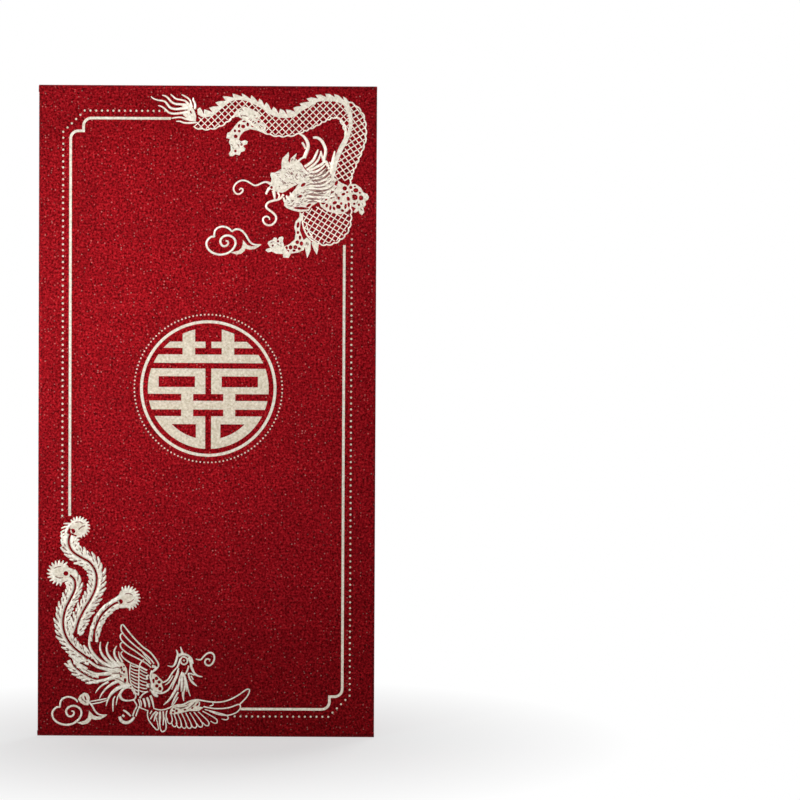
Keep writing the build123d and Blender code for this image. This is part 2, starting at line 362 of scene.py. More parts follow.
def slice_sheet(bm, place, way, near=0.0, drop=False):
    """Slices a sheet along a plane, and drops what lies beyond the plane where asked."""
    bmesh.ops.bisect_plane(bm, geom=[*bm.verts, *bm.edges, *bm.faces], dist=near, plane_co=place,
                           plane_no=way, clear_outer=drop)


def middle_y(node):
    """The depth of the middle of a flat node's card."""
    low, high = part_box(node)
    return (low.y + high.y) / 2


def turn_fold(bm, edge, centre, axis):
    """Carries an edge half round a crease and gives the edge that it arrives at."""
    made = bmesh.ops.spin(bm, geom=[*edge.verts, edge], cent=centre, axis=axis, angle=pi, steps=FOLD_STEPS)
    return next(part for part in made["geom_last"] if isinstance(part, bmesh.types.BMEdge))


def draw_panel(bm, edge, step):
    """Draws an edge along a step into a flat panel and gives the far edge."""
    made = bmesh.ops.extrude_edge_only(bm, edges=[edge])["geom"]
    far = [part for part in made if isinstance(part, bmesh.types.BMVert)]
    bmesh.ops.translate(bm, verts=far, vec=step)
    return next(part for part in bm.edges if set(part.verts) == set(far))


def cut_disc(bm, centre, radius, steps, chord_z, beyond):
    """An upright disc of card cut off along a level chord, with a painted highlight along its round edge.
    Gives the chord.
    What lies beyond the chord, up (1) or down (-1), is dropped."""
    place = Matrix.Translation(centre) @ Matrix.Rotation(pi / 2, 4, "X")
    bmesh.ops.create_circle(bm, cap_ends=True, segments=steps, radius=radius, matrix=place)
    slice_sheet(bm, (0, 0, chord_z), (0, 0, beyond), drop=True)
    bmesh.ops.remove_doubles(bm, verts=bm.verts, dist=SAME_PLACE)
    paint_cut_highlights(bm, list(bm.faces), lambda middle: beyond * (chord_z - middle.z) > CUT_LINE)
    on_chord = {vert for vert in bm.verts if abs(vert.co.z - chord_z) < SAME_PLACE}
    return next(edge for edge in bm.edges if on_chord.issuperset(edge.verts))


def as_mesh(curve):
    """A curve as a mesh; the curve is thrown away."""
    holder = bpy.data.objects.new(curve.name, curve)
    mesh = bpy.data.meshes.new_from_object(holder)
    bpy.data.objects.remove(holder)
    bpy.data.curves.remove(curve)
    return mesh


def flat_fill(loops, rise=0.0, bevel=0.0):
    """A flat mesh, in x and y, of an outline with holes, raised to a height with its rim bevelled."""
    curve = bpy.data.curves.new("outline", "CURVE")
    curve.dimensions = "2D"
    curve.fill_mode = "BOTH"
    curve.extrude = max(rise - bevel, 0)
    curve.bevel_depth = bevel
    curve.bevel_resolution = 0
    curve.offset = -bevel
    for loop in loops:
        spline = curve.splines.new("POLY")
        spline.points.add(len(loop) - 1)
        spline.use_cyclic_u = True
        for point, (across, up) in zip(spline.points, loop):
            point.co = (across, up, 0, 1)
    return as_mesh(curve)


def stand_up(depth):
    """Stands a drawing in x and y upright at a depth, its upper side to the front."""
    return Matrix.Translation((0, depth, 0)) @ Matrix.Rotation(pi / 2, 4, "X")


# The card pieces

def hook_edge(side, shift):
    """One edge of the hooked cut at an end of the tab's slit, from its root to its tip."""
    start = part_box("lock_tab")[1].x + SLIT_WIDTH
    points = []
    for step in range(HOOK_STEPS + 1):
        share = step / HOOK_STEPS
        up = JOINT_AT["tab_lift"].z + share * (HOOK_RISE - HOOK_BOW * (1 - share))
        points.append((side * (start + HOOK_REACH * share), up + shift))
    return points


def tab_opening():
    """The outline that the tab's cut leaves in the back panel, with its two hooks."""
    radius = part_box("lock_tab")[1].x + SLIT_WIDTH
    root = JOINT_AT["tab_lift"].z
    half = SLIT_WIDTH / 2
    outline = [(-radius, root - PAPER), (radius, root - PAPER)]
    outline += hook_edge(1, -half) + hook_edge(1, half)[::-1]
    for step in range(1, ARC_STEPS):
        turn = pi * step / ARC_STEPS
        outline.append((radius * cos(turn), root + radius * sin(turn)))
    outline += hook_edge(-1, half) + hook_edge(-1, -half)[::-1]
    return outline


def on_back_cut(place):
    """Whether a place on the back panel is beside its free edge or the tab's cut, but not below the tab."""
    root = JOINT_AT["tab_lift"].z
    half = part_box("lock_tab")[1].x
    by_hook = half < abs(place.x) < half + HOOK_REACH + 2 * CUT_LINE and abs(place.z - root) < 2 * HOOK_REACH
    round_tab = abs(place.x) <= half and root < place.z < root + half + 2 * CUT_LINE
    return by_hook or round_tab or abs(place.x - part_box("back_panel")[1].x) < CUT_LINE


def pocket_sheet():
    """Glue strip, seam fold, front, side fold and back: one length of card folded round."""
    side_low, side_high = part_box("side_fold")
    seam_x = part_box("seam_fold")[0].x
    strip_y, front_y, back_y = (middle_y(node) for node in ("side_strip", "front_panel", "back_panel"))
    bm = bmesh.new()
    edge = bm.edges.new([bm.verts.new((seam_x, strip_y, height)) for height in (side_low.z, side_high.z)])
    inner = draw_panel(bm, edge, (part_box("side_strip")[0].x - seam_x, 0, 0))
    for vert in inner.verts:
        vert.co.z += STRIP_TAPER if vert.co.z < (side_low.z + side_high.z) / 2 else -STRIP_TAPER
    edge = turn_fold(bm, edge, (seam_x, (strip_y + front_y) / 2, 0), (0, 0, -1))
    edge = draw_panel(bm, edge, (side_high.x - seam_x, 0, 0))
    turn_fold(bm, edge, (side_high.x, (front_y + back_y) / 2, 0), (0, 0, -1))
    smooth_bends(bm)
    free_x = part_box("back_panel")[1].x
    back = [(side_high.x, side_low.z), (free_x, side_low.z),
            (free_x, side_high.z), (side_high.x, side_high.z)]
    panel = flat_fill([back, tab_opening()])
    panel.transform(stand_up(back_y))
    before = set(bm.faces)
    bm.from_mesh(panel)
    # A painted highlight along the back panel's free edge and round the tab's cut
    paint_cut_highlights(bm, [face for face in bm.faces if face not in before], on_back_cut)
    piece = card_piece(bm, "pocket_sheet")
    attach(piece, "pocket")
    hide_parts("side_strip", "seam_fold", "front_panel", "side_fold", "back_panel")


def bottom_flap_sheet():
    """The low trapezoid that closes the bottom, with its crease and the front's lower edge."""
    flap_low, flap_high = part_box("bottom_flap")
    front_y, flap_y = middle_y("front_panel"), middle_y("bottom_flap")
    front_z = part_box("side_fold")[0].z
    bm = bmesh.new()
    edge = bm.edges.new([bm.verts.new((across, front_y, front_z)) for across in (LOW.x, HIGH.x)])
    edge = draw_panel(bm, edge, (0, 0, flap_low.z - front_z))
    edge = turn_fold(bm, edge, (0, (front_y + flap_y) / 2, flap_low.z), (1, 0, 0))
    far = draw_panel(bm, edge, (0, 0, flap_high.z - flap_low.z))
    for vert in far.verts:
        vert.co.x -= BOTTOM_FLAP_INSET if vert.co.x > 0 else -BOTTOM_FLAP_INSET
    smooth_bends(bm)
    # A painted highlight along the flap's free edges
    paint_cut_highlights(bm, list(far.link_faces), lambda place: place.z > flap_low.z + CUT_LINE)
    piece = card_piece(bm, "bottom_flap_sheet")
    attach(piece, "pocket")
    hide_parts("bottom_fold", "bottom_flap")


def closing_flap_sheet():
    """The round-edged flap, with its crease and the front's upper edge."""
    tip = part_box("top_flap")[0].z
    crease = JOINT_AT["flap_fold"]
    front_y, flap_y = middle_y("front_panel"), middle_y("top_flap")
    depth = crease.z - tip
    radius = (HIGH.x ** 2 + depth ** 2) / (2 * depth)
    bm = bmesh.new()
    chord = cut_disc(bm, (0, flap_y, tip + radius), radius, ARC_STEPS * 6, crease.z, 1)
    edge = turn_fold(bm, chord, crease, (1, 0, 0))
    draw_panel(bm, edge, (0, 0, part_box("side_fold")[1].z - crease.z))
    smooth_bends(bm)
    piece = card_piece(bm, "closing_flap_sheet")
    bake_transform(piece)
    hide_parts("top_fold", "top_flap")


def lock_tab_sheet():
    """The half-round tongue, bent outward just above its root so that it lies over the flap's tip."""
    tab_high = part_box("lock_tab")[1]
    root = JOINT_AT["tab_lift"]
    outer_y = tab_high.y - PAPER / 2
    ramp_low = root.z - PAPER
    ramp_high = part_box("top_flap")[0].z - RAMP_CLEARANCE
    bm = bmesh.new()
    chord = cut_disc(bm, (0, root.y, root.z), tab_high.x, ARC_STEPS * 2, root.z, -1)
    draw_panel(bm, chord, (0, 0, -PAPER - TAB_LAP))
    for step in range(FOLD_STEPS + 1):
        height = ramp_low + (ramp_high - ramp_low) * step / FOLD_STEPS
        slice_sheet(bm, (0, 0, height), (0, 0, 1), SLICE_NEAR)
    # Half a straight ramp and half an eased one, so that the bend is soft at both ends
    for vert in bm.verts:
        share = min(max((vert.co.z - ramp_low) / (ramp_high - ramp_low), 0), 1)
        vert.co.y += (outer_y - root.y) * (share + share * share * (3 - 2 * share)) / 2
    smooth_bends(bm)
    piece = card_piece(bm, "lock_tab_sheet")
    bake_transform(piece)
    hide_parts("lock_tab")


# The emblem: bars of its right half as left, right, low and high, in millimetres from the ring's centre
EMBLEM_BARS_MM = [
    (3.44, 6.64, 6.59, 16.0), (0.77, 16.0, 10.45, 12.05), (0.0, 16.0, 6.59, 8.74),
    (0.77, 3.42, -1.40, 5.13), (12.8, 16.0, -1.40, 5.13), (3.42, 12.8, 3.14, 5.13), (3.42, 12.8, -1.40, 0.36),
    (3.9, 6.95, -7.15, -1.40), (0.0, 16.0, -5.41, -3.17),
    (0.77, 3.14, -16.0, -7.15), (3.14, 16.0, -9.19, -7.15),
]
EMBLEM_RADIUS = 15.56 * MM
EMBLEM_FOOT_INNER = 13.15 * MM
EMBLEM_FOOT_TOP = -9.19 * MM
EMBLEM_FOOT_SIDE = 3.14 * MM


def emblem_foot(bm, side):
    """The curved lower wall of one of the emblem's bottom boxes, added to its bars."""
    foot = bmesh.new()
    walls = (EMBLEM_FOOT_INNER, EMBLEM_RADIUS)
    edge = foot.edges.new([foot.verts.new((side * radius, 0, 0)) for radius in walls])
    bmesh.ops.spin(foot, geom=[*edge.verts, edge], cent=(0, 0, 0), axis=(0, side, 0), angle=pi / 2,
                   steps=ARC_STEPS)
    slice_sheet(foot, (0, 0, EMBLEM_FOOT_TOP), (0, 0, 1), drop=True)
    slice_sheet(foot, (side * EMBLEM_FOOT_SIDE, 0, 0), (-side, 0, 0), drop=True)
    mesh = bpy.data.meshes.new("emblem_foot")
    foot.to_mesh(mesh)
    foot.free()
    bm.from_mesh(mesh)
    bpy.data.meshes.remove(mesh)


def in_emblem_bar(place):
    """Whether a place, in millimetres from the emblem's centre, lies in one of its bars."""
    return any(left < abs(place.x) < right and low < place.z < high
               for left, right, low, high in EMBLEM_BARS_MM)


def emblem_foil():
    """Two joined knots of bars, cut off by a circle inside the ring."""
    ring_low, ring_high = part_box("ring_foil")
    centre = Vector(((ring_low.x + ring_high.x) / 2, FRONT_FACE - FOIL / 2, (ring_low.z + ring_high.z) / 2))
    bm = bmesh.new()
    bmesh.ops.create_grid(bm, x_segments=1, y_segments=1, size=EMBLEM_RADIUS,
                          matrix=Matrix.Rotation(pi / 2, 4, "X"))
    for place in sorted({side * value for bar in EMBLEM_BARS_MM for value in bar[:2] for side in (-1, 1)}):
        slice_sheet(bm, (place * MM, 0, 0), (1, 0, 0))
    for place in sorted({value for bar in EMBLEM_BARS_MM for value in bar[2:]}):
        slice_sheet(bm, (0, 0, place * MM), (0, 0, 1))
    bare = [face for face in bm.faces if not in_emblem_bar(face.calc_center_median() / MM)]
    bmesh.ops.delete(bm, geom=bare, context="FACES")
    for step in range(ARC_STEPS * 2):
        turn = pi * step / ARC_STEPS
        way = Vector((cos(turn), 0, sin(turn)))
        slice_sheet(bm, way * EMBLEM_RADIUS, way, drop=True)
    for side in (-1, 1):
        emblem_foot(bm, side)
    bmesh.ops.translate(bm, verts=bm.verts, vec=centre)
    bmesh.ops.recalc_face_normals(bm, faces=bm.faces)
    piece = new_object(bm, "emblem_foil", [STAMPED_FOIL])
    wall = piece.modifiers.new("foil_thickness", "SOLIDIFY")
    wall.thickness = FOIL
    wall.offset = 0
    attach(piece, "pocket")


def dress_frame():
    """The finishes of the pieces that stay as they come with the frame."""
    # The border line, the ring and the ring's dots take a copy of the foil painted lighter: painted highlight
    finishes = {"border_line_foil": PAINTED_LIGHTER_FOIL, "border_dot_foil": STAMPED_FOIL, "ring_foil": PAINTED_LIGHTER_FOIL,
                "ring_dot_foil": PAINTED_LIGHTER_FOIL, "seam_glue": GLUE, "bottom_glue": GLUE}
    for node, finish in finishes.items():
        mesh = frame["nodes"][node].data
        mesh.materials.clear()
        mesh.materials.append(finish)


# Drawing in foil: names that end in _PX are in pixels of the photograph. Points are across and down, and a
# stroke's points have its width there too.
STROKE_GAP_PX = 1.4
THINNEST_PX = 0.3
BEAD_SHARE = 0.2
BEAD_HEIGHT = 0.07 * MM
PATCH_BEVEL = 0.01 * MM
PATCH_SHARE = 0.5
LAYER_SHARE = 0.02
# The order of the finishes on a foil piece
PRESSED, RUBBED, DRAWN = 0, 1, 2


def spot(across_px, down_px):
    """A pixel on the photographed front as x and z."""
    share = (down_px - FRONT_TOP_PX) / (FRONT_BOTTOM_PX - FRONT_TOP_PX)
    left = TOP_LEFT_PX + (BOTTOM_LEFT_PX - TOP_LEFT_PX) * share
    right = TOP_RIGHT_PX + (BOTTOM_RIGHT_PX - TOP_RIGHT_PX) * share
    across = LOW.x + (HIGH.x - LOW.x) * (across_px - left) / (right - left)
    return across, HIGH.z + (LOW.z - HIGH.z) * share


def flow(points, gap=STROKE_GAP_PX):
    """A smooth line through a few set points, sampled at about one gap."""
    ends = [points[0], *points, points[-1]]
    line = []
    for first, start, end, last in zip(ends, ends[1:], ends[2:], ends[3:]):
        count = max(1, round(hypot(end[0] - start[0], end[1] - start[1]) / gap))
        for step in range(count):
            share = step / count
            line.append(tuple(
                b + share / 2 * (c - a + share * (2 * a - 5 * b + 4 * c - d
                                                  + share * (3 * b - a - 3 * c + d)))
                for a, b, c, d in zip(first, start, end, last)))
    line.append(tuple(points[-1]))
    return line


def stroke_mesh(strokes, lift=0.0):
    """Tapering beads of foil along smooth lines of (across, down, width); wide ones are flattened more."""
    curve = bpy.data.curves.new("strokes", "CURVE")
    curve.dimensions = "3D"
    curve.bevel_depth = 1
    curve.bevel_resolution = 1
    curve.use_fill_caps = True
    for stroke in strokes:
        line = flow(stroke)
        spline = curve.splines.new("POLY")
        spline.points.add(len(line) - 1)
        for point, (across, down, width) in zip(spline.points, line):
            point.co = (*spot(across, down), 0, 1)
            point.radius = max(width, THINNEST_PX) * PX / 2
    mesh = as_mesh(curve)
    for vert in mesh.vertices:
        vert.co.z = lift + BEAD_HEIGHT * tanh(vert.co.z * BEAD_SHARE / BEAD_HEIGHT)
    return mesh


def patch_mesh(loops, layer):
    """A flat patch of foil with holes; a later layer lies a hair higher."""
    places = [[spot(across, down) for across, down in loop] for loop in loops]
    return flat_fill(places, FOIL * (PATCH_SHARE + LAYER_SHARE * layer), PATCH_BEVEL)


# By default the patches and strokes take copies of the foil painted lighter: painted light
def foil_piece(name, strokes, patches, lines=(), pressed_in=PAINTED_LIGHTER_FOIL, drawn_in=PAINTED_LIGHTER_STROKE_FOIL):
    """One foil drawing of strokes and patches, stamped on the front, with finer lines rubbed into it."""
    layers = [(stroke_mesh(lines, BEAD_HEIGHT), RUBBED)] if lines else []
    layers.append((stroke_mesh(strokes), DRAWN))
    layers += [(patch_mesh(loops, layer), PRESSED) for layer, loops in enumerate(patches)]
    bm = bmesh.new()
    for mesh, finish in layers:
        mesh.transform(stand_up(FRONT_FACE))
        before = len(bm.faces)
        bm.from_mesh(mesh)
        bpy.data.meshes.remove(mesh)
        bm.faces.ensure_lookup_table()
        for face in bm.faces[before:]:
            face.material_index = finish
            face.smooth = finish != PRESSED
    piece = new_object(bm, name, [pressed_in, RUBBED_FOIL, drawn_in])
    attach(piece, "pocket")


OVAL_CORNERS = 8
HOLE_EASE_PX = 0.5


def oval(across, down, wide, high, turn=0):
    """A small oval of a few corners, from its half sizes, turned in degrees."""
    corners = []
    lean = radians(turn)
    for step in range(OVAL_CORNERS):
        angle = 2 * pi * step / OVAL_CORNERS
        x, y = wide * cos(angle), high * sin(angle)
        corners.append((across + x * cos(lean) - y * sin(lean), down + x * sin(lean) + y * cos(lean)))
    return corners


def holed(outline, table):
    """An outline with oval holes, from a table of places, half sizes and turns.
    Each is opened a little for the foil that closes in on it."""
    return [outline] + [oval(across, down, wide + HOLE_EASE_PX, high + HOLE_EASE_PX, *turn)
                        for across, down, wide, high, *turn in table]


def inside(point, outline):
    """Whether a point lies inside a closed outline."""
    within = False
    for (x0, y0), (x1, y1) in zip(outline, [*outline[1:], outline[0]]):
        if (y0 > point[1]) != (y1 > point[1]) and point[0] < x0 + (point[1] - y0) / (y1 - y0) * (x1 - x0):
            within = not within
    return within


# Bands: strokes so wide that they have a drawing of their own

def band_frame(line):
    """The length so far, the place, the left-hand side and the width at each point of a sampled band."""
    rows = []
    length = 0.0
    for index, (across, down, width) in enumerate(line):
        back, on = line[max(index - 1, 0)], line[min(index + 1, len(line) - 1)]
        run = hypot(on[0] - back[0], on[1] - back[1]) or 1
        if index:
            length += hypot(across - line[index - 1][0], down - line[index - 1][1])
        side = ((on[1] - back[1]) / run, (back[0] - on[0]) / run)
        rows.append((length, (across, down), side, width))
    return rows


def nearest_row(rows, along):
    """The row of a band that is nearest to a length along it."""
    return min(rows, key=lambda row: abs(row[0] - along))


def on_band(rows, along, share):
    """A point on a band: so far along, and a share of half its width to the left."""
    length, (across, down), (side_x, side_y), width = nearest_row(rows, along)
    slide = along - length
    out = share * width / 2
    return across + side_x * out - side_y * slide, down + side_y * out + side_x * slide


def band_stroke(rows, along, points):
    """A stroke on a band: its points' shifts along it, shares of half its width, and widths."""
    return [(*on_band(rows, along + shift, share), width) for shift, share, width in points]


def band_outline(rows, low, high):
    """The closed outline of a band between two shares of its half width."""
    return [on_band(rows, row[0], high) for row in rows] + [on_band(rows, row[0], low) for row in rows[::-1]]


SCALE_PX = 4.77
SCALE_LINE_PX = 0.95
NECK_LINE_PX = 1.05
NET_OUTLINE_STEP = 3
SCALLOP_PX = 6.7
SCALLOP_BULGE_PX = 1.3
SCALLOP_LINE_PX = 1.5
SCALLOP_STEPS = 6


def scale_net(outline, knot, slants, width=SCALE_LINE_PX):
    """Two families of lines, slanting in degrees, that cross at a knot and net an outline into scales."""
    strokes = []
    reach = int(max(hypot(point[0] - knot[0], point[1] - knot[1]) for point in outline))
    count = int(reach / SCALE_PX)
    for slant in slants:
        way = (cos(radians(slant)), sin(radians(slant)))
        for index in range(-count, count + 1):
            shift = index * SCALE_PX
            run = []
            for step in range(-reach, reach + 2):
                point = (knot[0] + way[0] * step - way[1] * shift, knot[1] + way[1] * step + way[0] * shift)
                if inside(point, outline):
                    run.append((*point, width))
                elif len(run) > 2:
                    strokes.append([run[0], run[-1]])
                    run = []
    return strokes


def scallops(rows, share):
    """A wavy edge of small bows, one to a scale, along one side of a band."""
    edge = []
    total = rows[-1][0]
    steps = int(total / SCALLOP_PX * SCALLOP_STEPS)
    for step in range(steps + 1):
        along = total * step / steps
        wave = abs(sin(pi * along / SCALLOP_PX)) * SCALLOP_BULGE_PX * 2 / nearest_row(rows, along)[3]
        edge.append((*on_band(rows, along, share + (wave if share > 0 else -wave)), SCALLOP_LINE_PX))
    return edge


# The dragon

TAIL_STRANDS_PX = [
    [(151, 96.5, .8), (153, 98.5, 1.2), (158, 100.2, 1.6), (164, 101.2, 1.9), (167, 104, 2.2),
     (170, 107.5, 2.4), (175, 109, 2.6), (182, 108.5, 3.2), (188, 107.5, 4)],
    [(162, 95.2, .8), (165, 96, 1.5), (168, 98, 2), (171, 101.5, 2.2), (175, 103.8, 2.4), (181, 104.3, 2.6),
     (187, 105, 3.5)],
    [(170.5, 94.2, .8), (173, 96.5, 1.6), (176, 98.8, 1.8), (181, 99.8, 1.8), (185, 100.8, 2),
     (188, 103.5, 2.5), (190, 106, 3)],
    [(181.5, 94.5, .7), (184, 95.8, 1.6), (187.5, 97.8, 1.8), (190, 100.5, 1.8), (191, 104, 2.2),
     (192, 107, 2.5)],
    [(193, 97.5, .8), (193.2, 100, 1.8), (194.5, 103, 2.4), (195, 106, 2.6), (194.5, 109, 2.5)],
    [(158, 105.5, .8), (161.5, 106.5, 1.4), (165, 109, 1.8), (168.5, 112.3, 2.1), (173, 113.6, 2.2),
     (179, 113.2, 2.4), (184, 112.5, 3), (188, 112, 4)],
    [(171.5, 118.2, 1.2), (176, 117.4, 1.6), (181, 117.2, 1.9), (185, 118.6, 2.2), (189, 119, 3)],
    [(176, 121.2, .8), (180, 121.2, 1.4), (184, 122.6, 1.9), (190, 122.8, 2), (196, 122, 2.2)],
]
TAIL_ROOT_PX = [
    (181, 105), (187, 104.5), (191, 106), (194, 110), (196, 116), (195.5, 121), (189, 121), (186, 117.5),
    (183, 115), (181.5, 112), (185.5, 110.5),
]
TAIL_ROOT_HOLES_PX = [(186, 109.8, 1.1, .5), (190.6, 112, .3, 1.3, -25)]
BODY_PX = [
    (196, 120.4, 13), (200, 121.8, 13.2), (207, 122.1, 13.8), (215.5, 120.1, 14.4), (222.8, 114.7, 16),
    (229.5, 108.8, 17), (240, 106.2, 17.5), (250, 109.6, 18), (262, 118.2, 22), (275, 124.4, 22),
    (290, 125.4, 19.5), (300, 120.4, 22), (310, 116, 22), (320, 111, 21), (330, 107.8, 19.5),
    (337.6, 108.4, 18), (342.8, 112.2, 15), (345.6, 118.8, 11), (347.2, 126.5, 7.5), (347.4, 133.5, 4),
]
NECK_PX = [
    (344.8, 104.6, 9), (349.2, 108.4, 13), (353.4, 114, 16.5), (356, 120.5, 17), (357, 128, 16.5),
    (356.8, 136, 17), (354.3, 144, 18), (350.6, 152, 19), (346.9, 160, 19.5), (343.6, 168, 19),
    (341.8, 176, 18.5), (341, 182, 17),
]
NECK_RIDGE_PX = [
    (342, 100.5, 4), (347, 106.5, 4.6), (349.6, 116, 4.2), (349.3, 128, 3.6), (344.4, 140, 5),
    (339.5, 149, 4.6), (335.5, 160, 4), (333, 171, 3.6), (331, 180, 3),
]
NECK_INNER_PX = [
    (337.5, 116.8, 1.6), (341.3, 119.8, 1.8), (344.3, 125.8, 2), (345.2, 131.6, 2.4), (344, 137.6, 2),
]
NECK_SPIKE_PX = [(334, 150, 1), (333, 156, 3), (331.5, 164, 3.4), (330.5, 172, 3)]
CHEST_EDGE_PX = [
    (346.4, 200, 6), (348, 208, 6), (348, 215, 6), (347.3, 222.5, 6), (344.8, 229.5, 6), (340.2, 235.2, 6),
    (333, 239.8, 6), (325, 241.6, 6), (317, 240, 6),
]
# The shares of a band's half width that its net fills, and the share at which its wavy edge runs
BODY_NET, BODY_EDGE = (-0.95, 0.95), -0.9
NECK_NET, NECK_EDGE = (-0.9, 0.95), 0.88
CHEST_EDGE = 0.5
# Where two lines of each net cross, and how its lines slant in degrees
BODY_KNOT_PX, BODY_SLANTS = (281.9, 121.1), (46, 136)
NECK_KNOT_PX, NECK_SLANTS = (355, 138.1), (53.6, 147)
CHEST_KNOT_PX, CHEST_SLANTS = (325.6, 229), (32, 123.8)
# The spikes along the back: tip, shoulder, the notch behind it, and how deep the ridge is under that notch
SPIKES_PX = [
    ((199.7, 107.3), (201.5, 109.6), (203.6, 114.1), 2.8),
    ((204, 109.1), (208.4, 110.4), (212.5, 112.3), 3), ((208.9, 107.5), (213, 106.3), (218.6, 106), 4.6),
    ((215.1, 102.3), (219.5, 100.9), (225.4, 100.5), 4.4), ((222.4, 96.3), (226.4, 96), (233.1, 97.3), 3),
    ((232.2, 93.2), (236, 94.2), (242, 96.4), 3.4), ((241.3, 92.9), (245.2, 95), (250, 98.5), 3.7),
    ((251.1, 94.8), (254, 97.2), (257.7, 101.9), 4.1), ((259, 98.1), (261.4, 100), (263.8, 104.8), 4.8),
    ((266.1, 101.9), (268.4, 104.6), (270.9, 109.8), 4.6),
    ((273.2, 106.2), (275.6, 108.4), (278.3, 112.9), 3.9),
    ((279.6, 108.3), (283, 109.6), (286.8, 114.1), 3.2),
    ((285.3, 108.8), (290, 109.4), (294.5, 111.2), 4.1), ((292.8, 107.3), (296.4, 105.8), (301, 105.5), 5),
    ((299, 102.8), (303.2, 101.8), (308.9, 100.9), 5.3), ((306, 98), (310.8, 96.6), (317.5, 97.9), 3.2),
    ((315, 94.3), (320, 93.9), (326, 96.6), 3.7), ((324.6, 93), (329, 93.2), (334.3, 96.5), 4.2),
    ((333.5, 93.2), (338, 94.6), (343.1, 99.2), 4.6), ((342.5, 95.6), (345.6, 97.4), (348.7, 101.5), 5),
]
RIDGE_START_PX = [(197.5, 114.2), (197.2, 109)]
HIP_PX = [
    (234, 112.5), (238, 108.5), (244, 106), (251, 108.5), (258, 112), (261, 115.5), (256, 117.5),
    (248, 117.3), (245, 119), (240, 117.5), (236, 115),
]
THIGH_PX = [
    (250, 116.6), (243, 118.2), (238.5, 121), (236, 123.6), (232.4, 128.2), (229.5, 132), (231, 136.5),
    (233.5, 139.6), (238.3, 139.8), (239.9, 135.2), (243.5, 131), (250, 128.6), (257, 130), (264, 133),
    (266, 126), (258, 118.6),
]
THIGH_HOLES_PX = [
    (249.8, 119.3, 1, .8), (253.9, 121.8, 1.7, .8, 18), (243.8, 120.9, 1.4, .5), (247.4, 124, 1, 1.7),
    (242.8, 126, 1.7, 1.5), (238.7, 125.4, .7, 1.6, 18), (234.6, 130.4, .8, 1.1), (235.4, 135.9, 1.6, 1.5),
    (260.8, 126.6, 2.4, .9, 38), (238.9, 130.6, 1, .9), (258.2, 121.2, .8, .8), (252.2, 125.6, 1, .6),
]
HIND_FOOT_PX = [
    (229.5, 131.6), (227, 132.5), (226, 137.5), (229.5, 138.5), (228.6, 142), (230.3, 145.5), (230.5, 150),
    (228.5, 153), (229.5, 155.6), (232.5, 155.6), (235, 153.8), (239, 154.8), (240.6, 151.5), (244, 150.5),
    (245, 148), (243, 146.2), (243.4, 144.6), (246.6, 143.6), (247.4, 141), (244.8, 139.6), (240.5, 140.8),
    (238.5, 139.2), (235, 138.6), (232.6, 136.4), (232, 133),
]
HIND_FOOT_HOLES_PX = [(235, 150.5, .9, .9), (241.2, 144, .7, .8)]
UPPER_JAW_PX = [
    (274, 172), (279, 169.5), (281, 168), (281, 162), (282, 157.5), (286.5, 153), (288, 151), (288.5, 155),
    (287.5, 160), (289, 162), (290.3, 157.5), (296, 152.5), (295, 158), (298, 160), (301, 163), (304, 168),
    (308, 172), (309, 178.5), (304, 180.6), (298.5, 182.6), (294.2, 184.6), (289, 187.6), (285, 190.6),
    (281.5, 192), (278, 191.3), (273, 190), (268, 187.5), (270, 183.5), (271, 178), (269.8, 174.5),
    (270.3, 172), (272.5, 171.8),
]
UPPER_JAW_HOLES_PX = [(271, 186.6, .9, 1), (291, 172.6, .7, .9)]
LOWER_JAW_PX = [
    (295, 187.4), (292.6, 190.4), (290.2, 193), (288.6, 195), (287, 196), (286, 198), (284, 199.5),
    (283.5, 204.5), (286, 207), (292, 209.5), (299, 211), (308, 210), (311, 205), (316, 202), (320, 196),
    (320, 184), (312, 178), (303, 179), (296.5, 184.6),
]
LOWER_JAW_HOLES_PX = [
    (299, 195.3, 2.1, .8, -22), (300.5, 207.3, 7.6, .9, 3), (308, 204.4, 2.4, .9, -35),
    (302.6, 183.8, 2.5, 1.1, -38),
]
FANGS_PX = [
    [(269, 187, 3), (267, 190, 2.6), (265.5, 193.5, 1.8)],
    [(273, 190, 3.6), (273.8, 194, 3), (274.3, 198.5, 1.6)],
    [(288.5, 199, 3), (286.5, 196.5, 2.4), (285.8, 194.5, 1.2)],
    [(293, 196, 3), (290.5, 193.5, 2), (289.5, 191.5, 1)],
    [(284.5, 201, 2.4), (283.4, 198.5, 2.2), (283, 196.5, 1.6)],
]
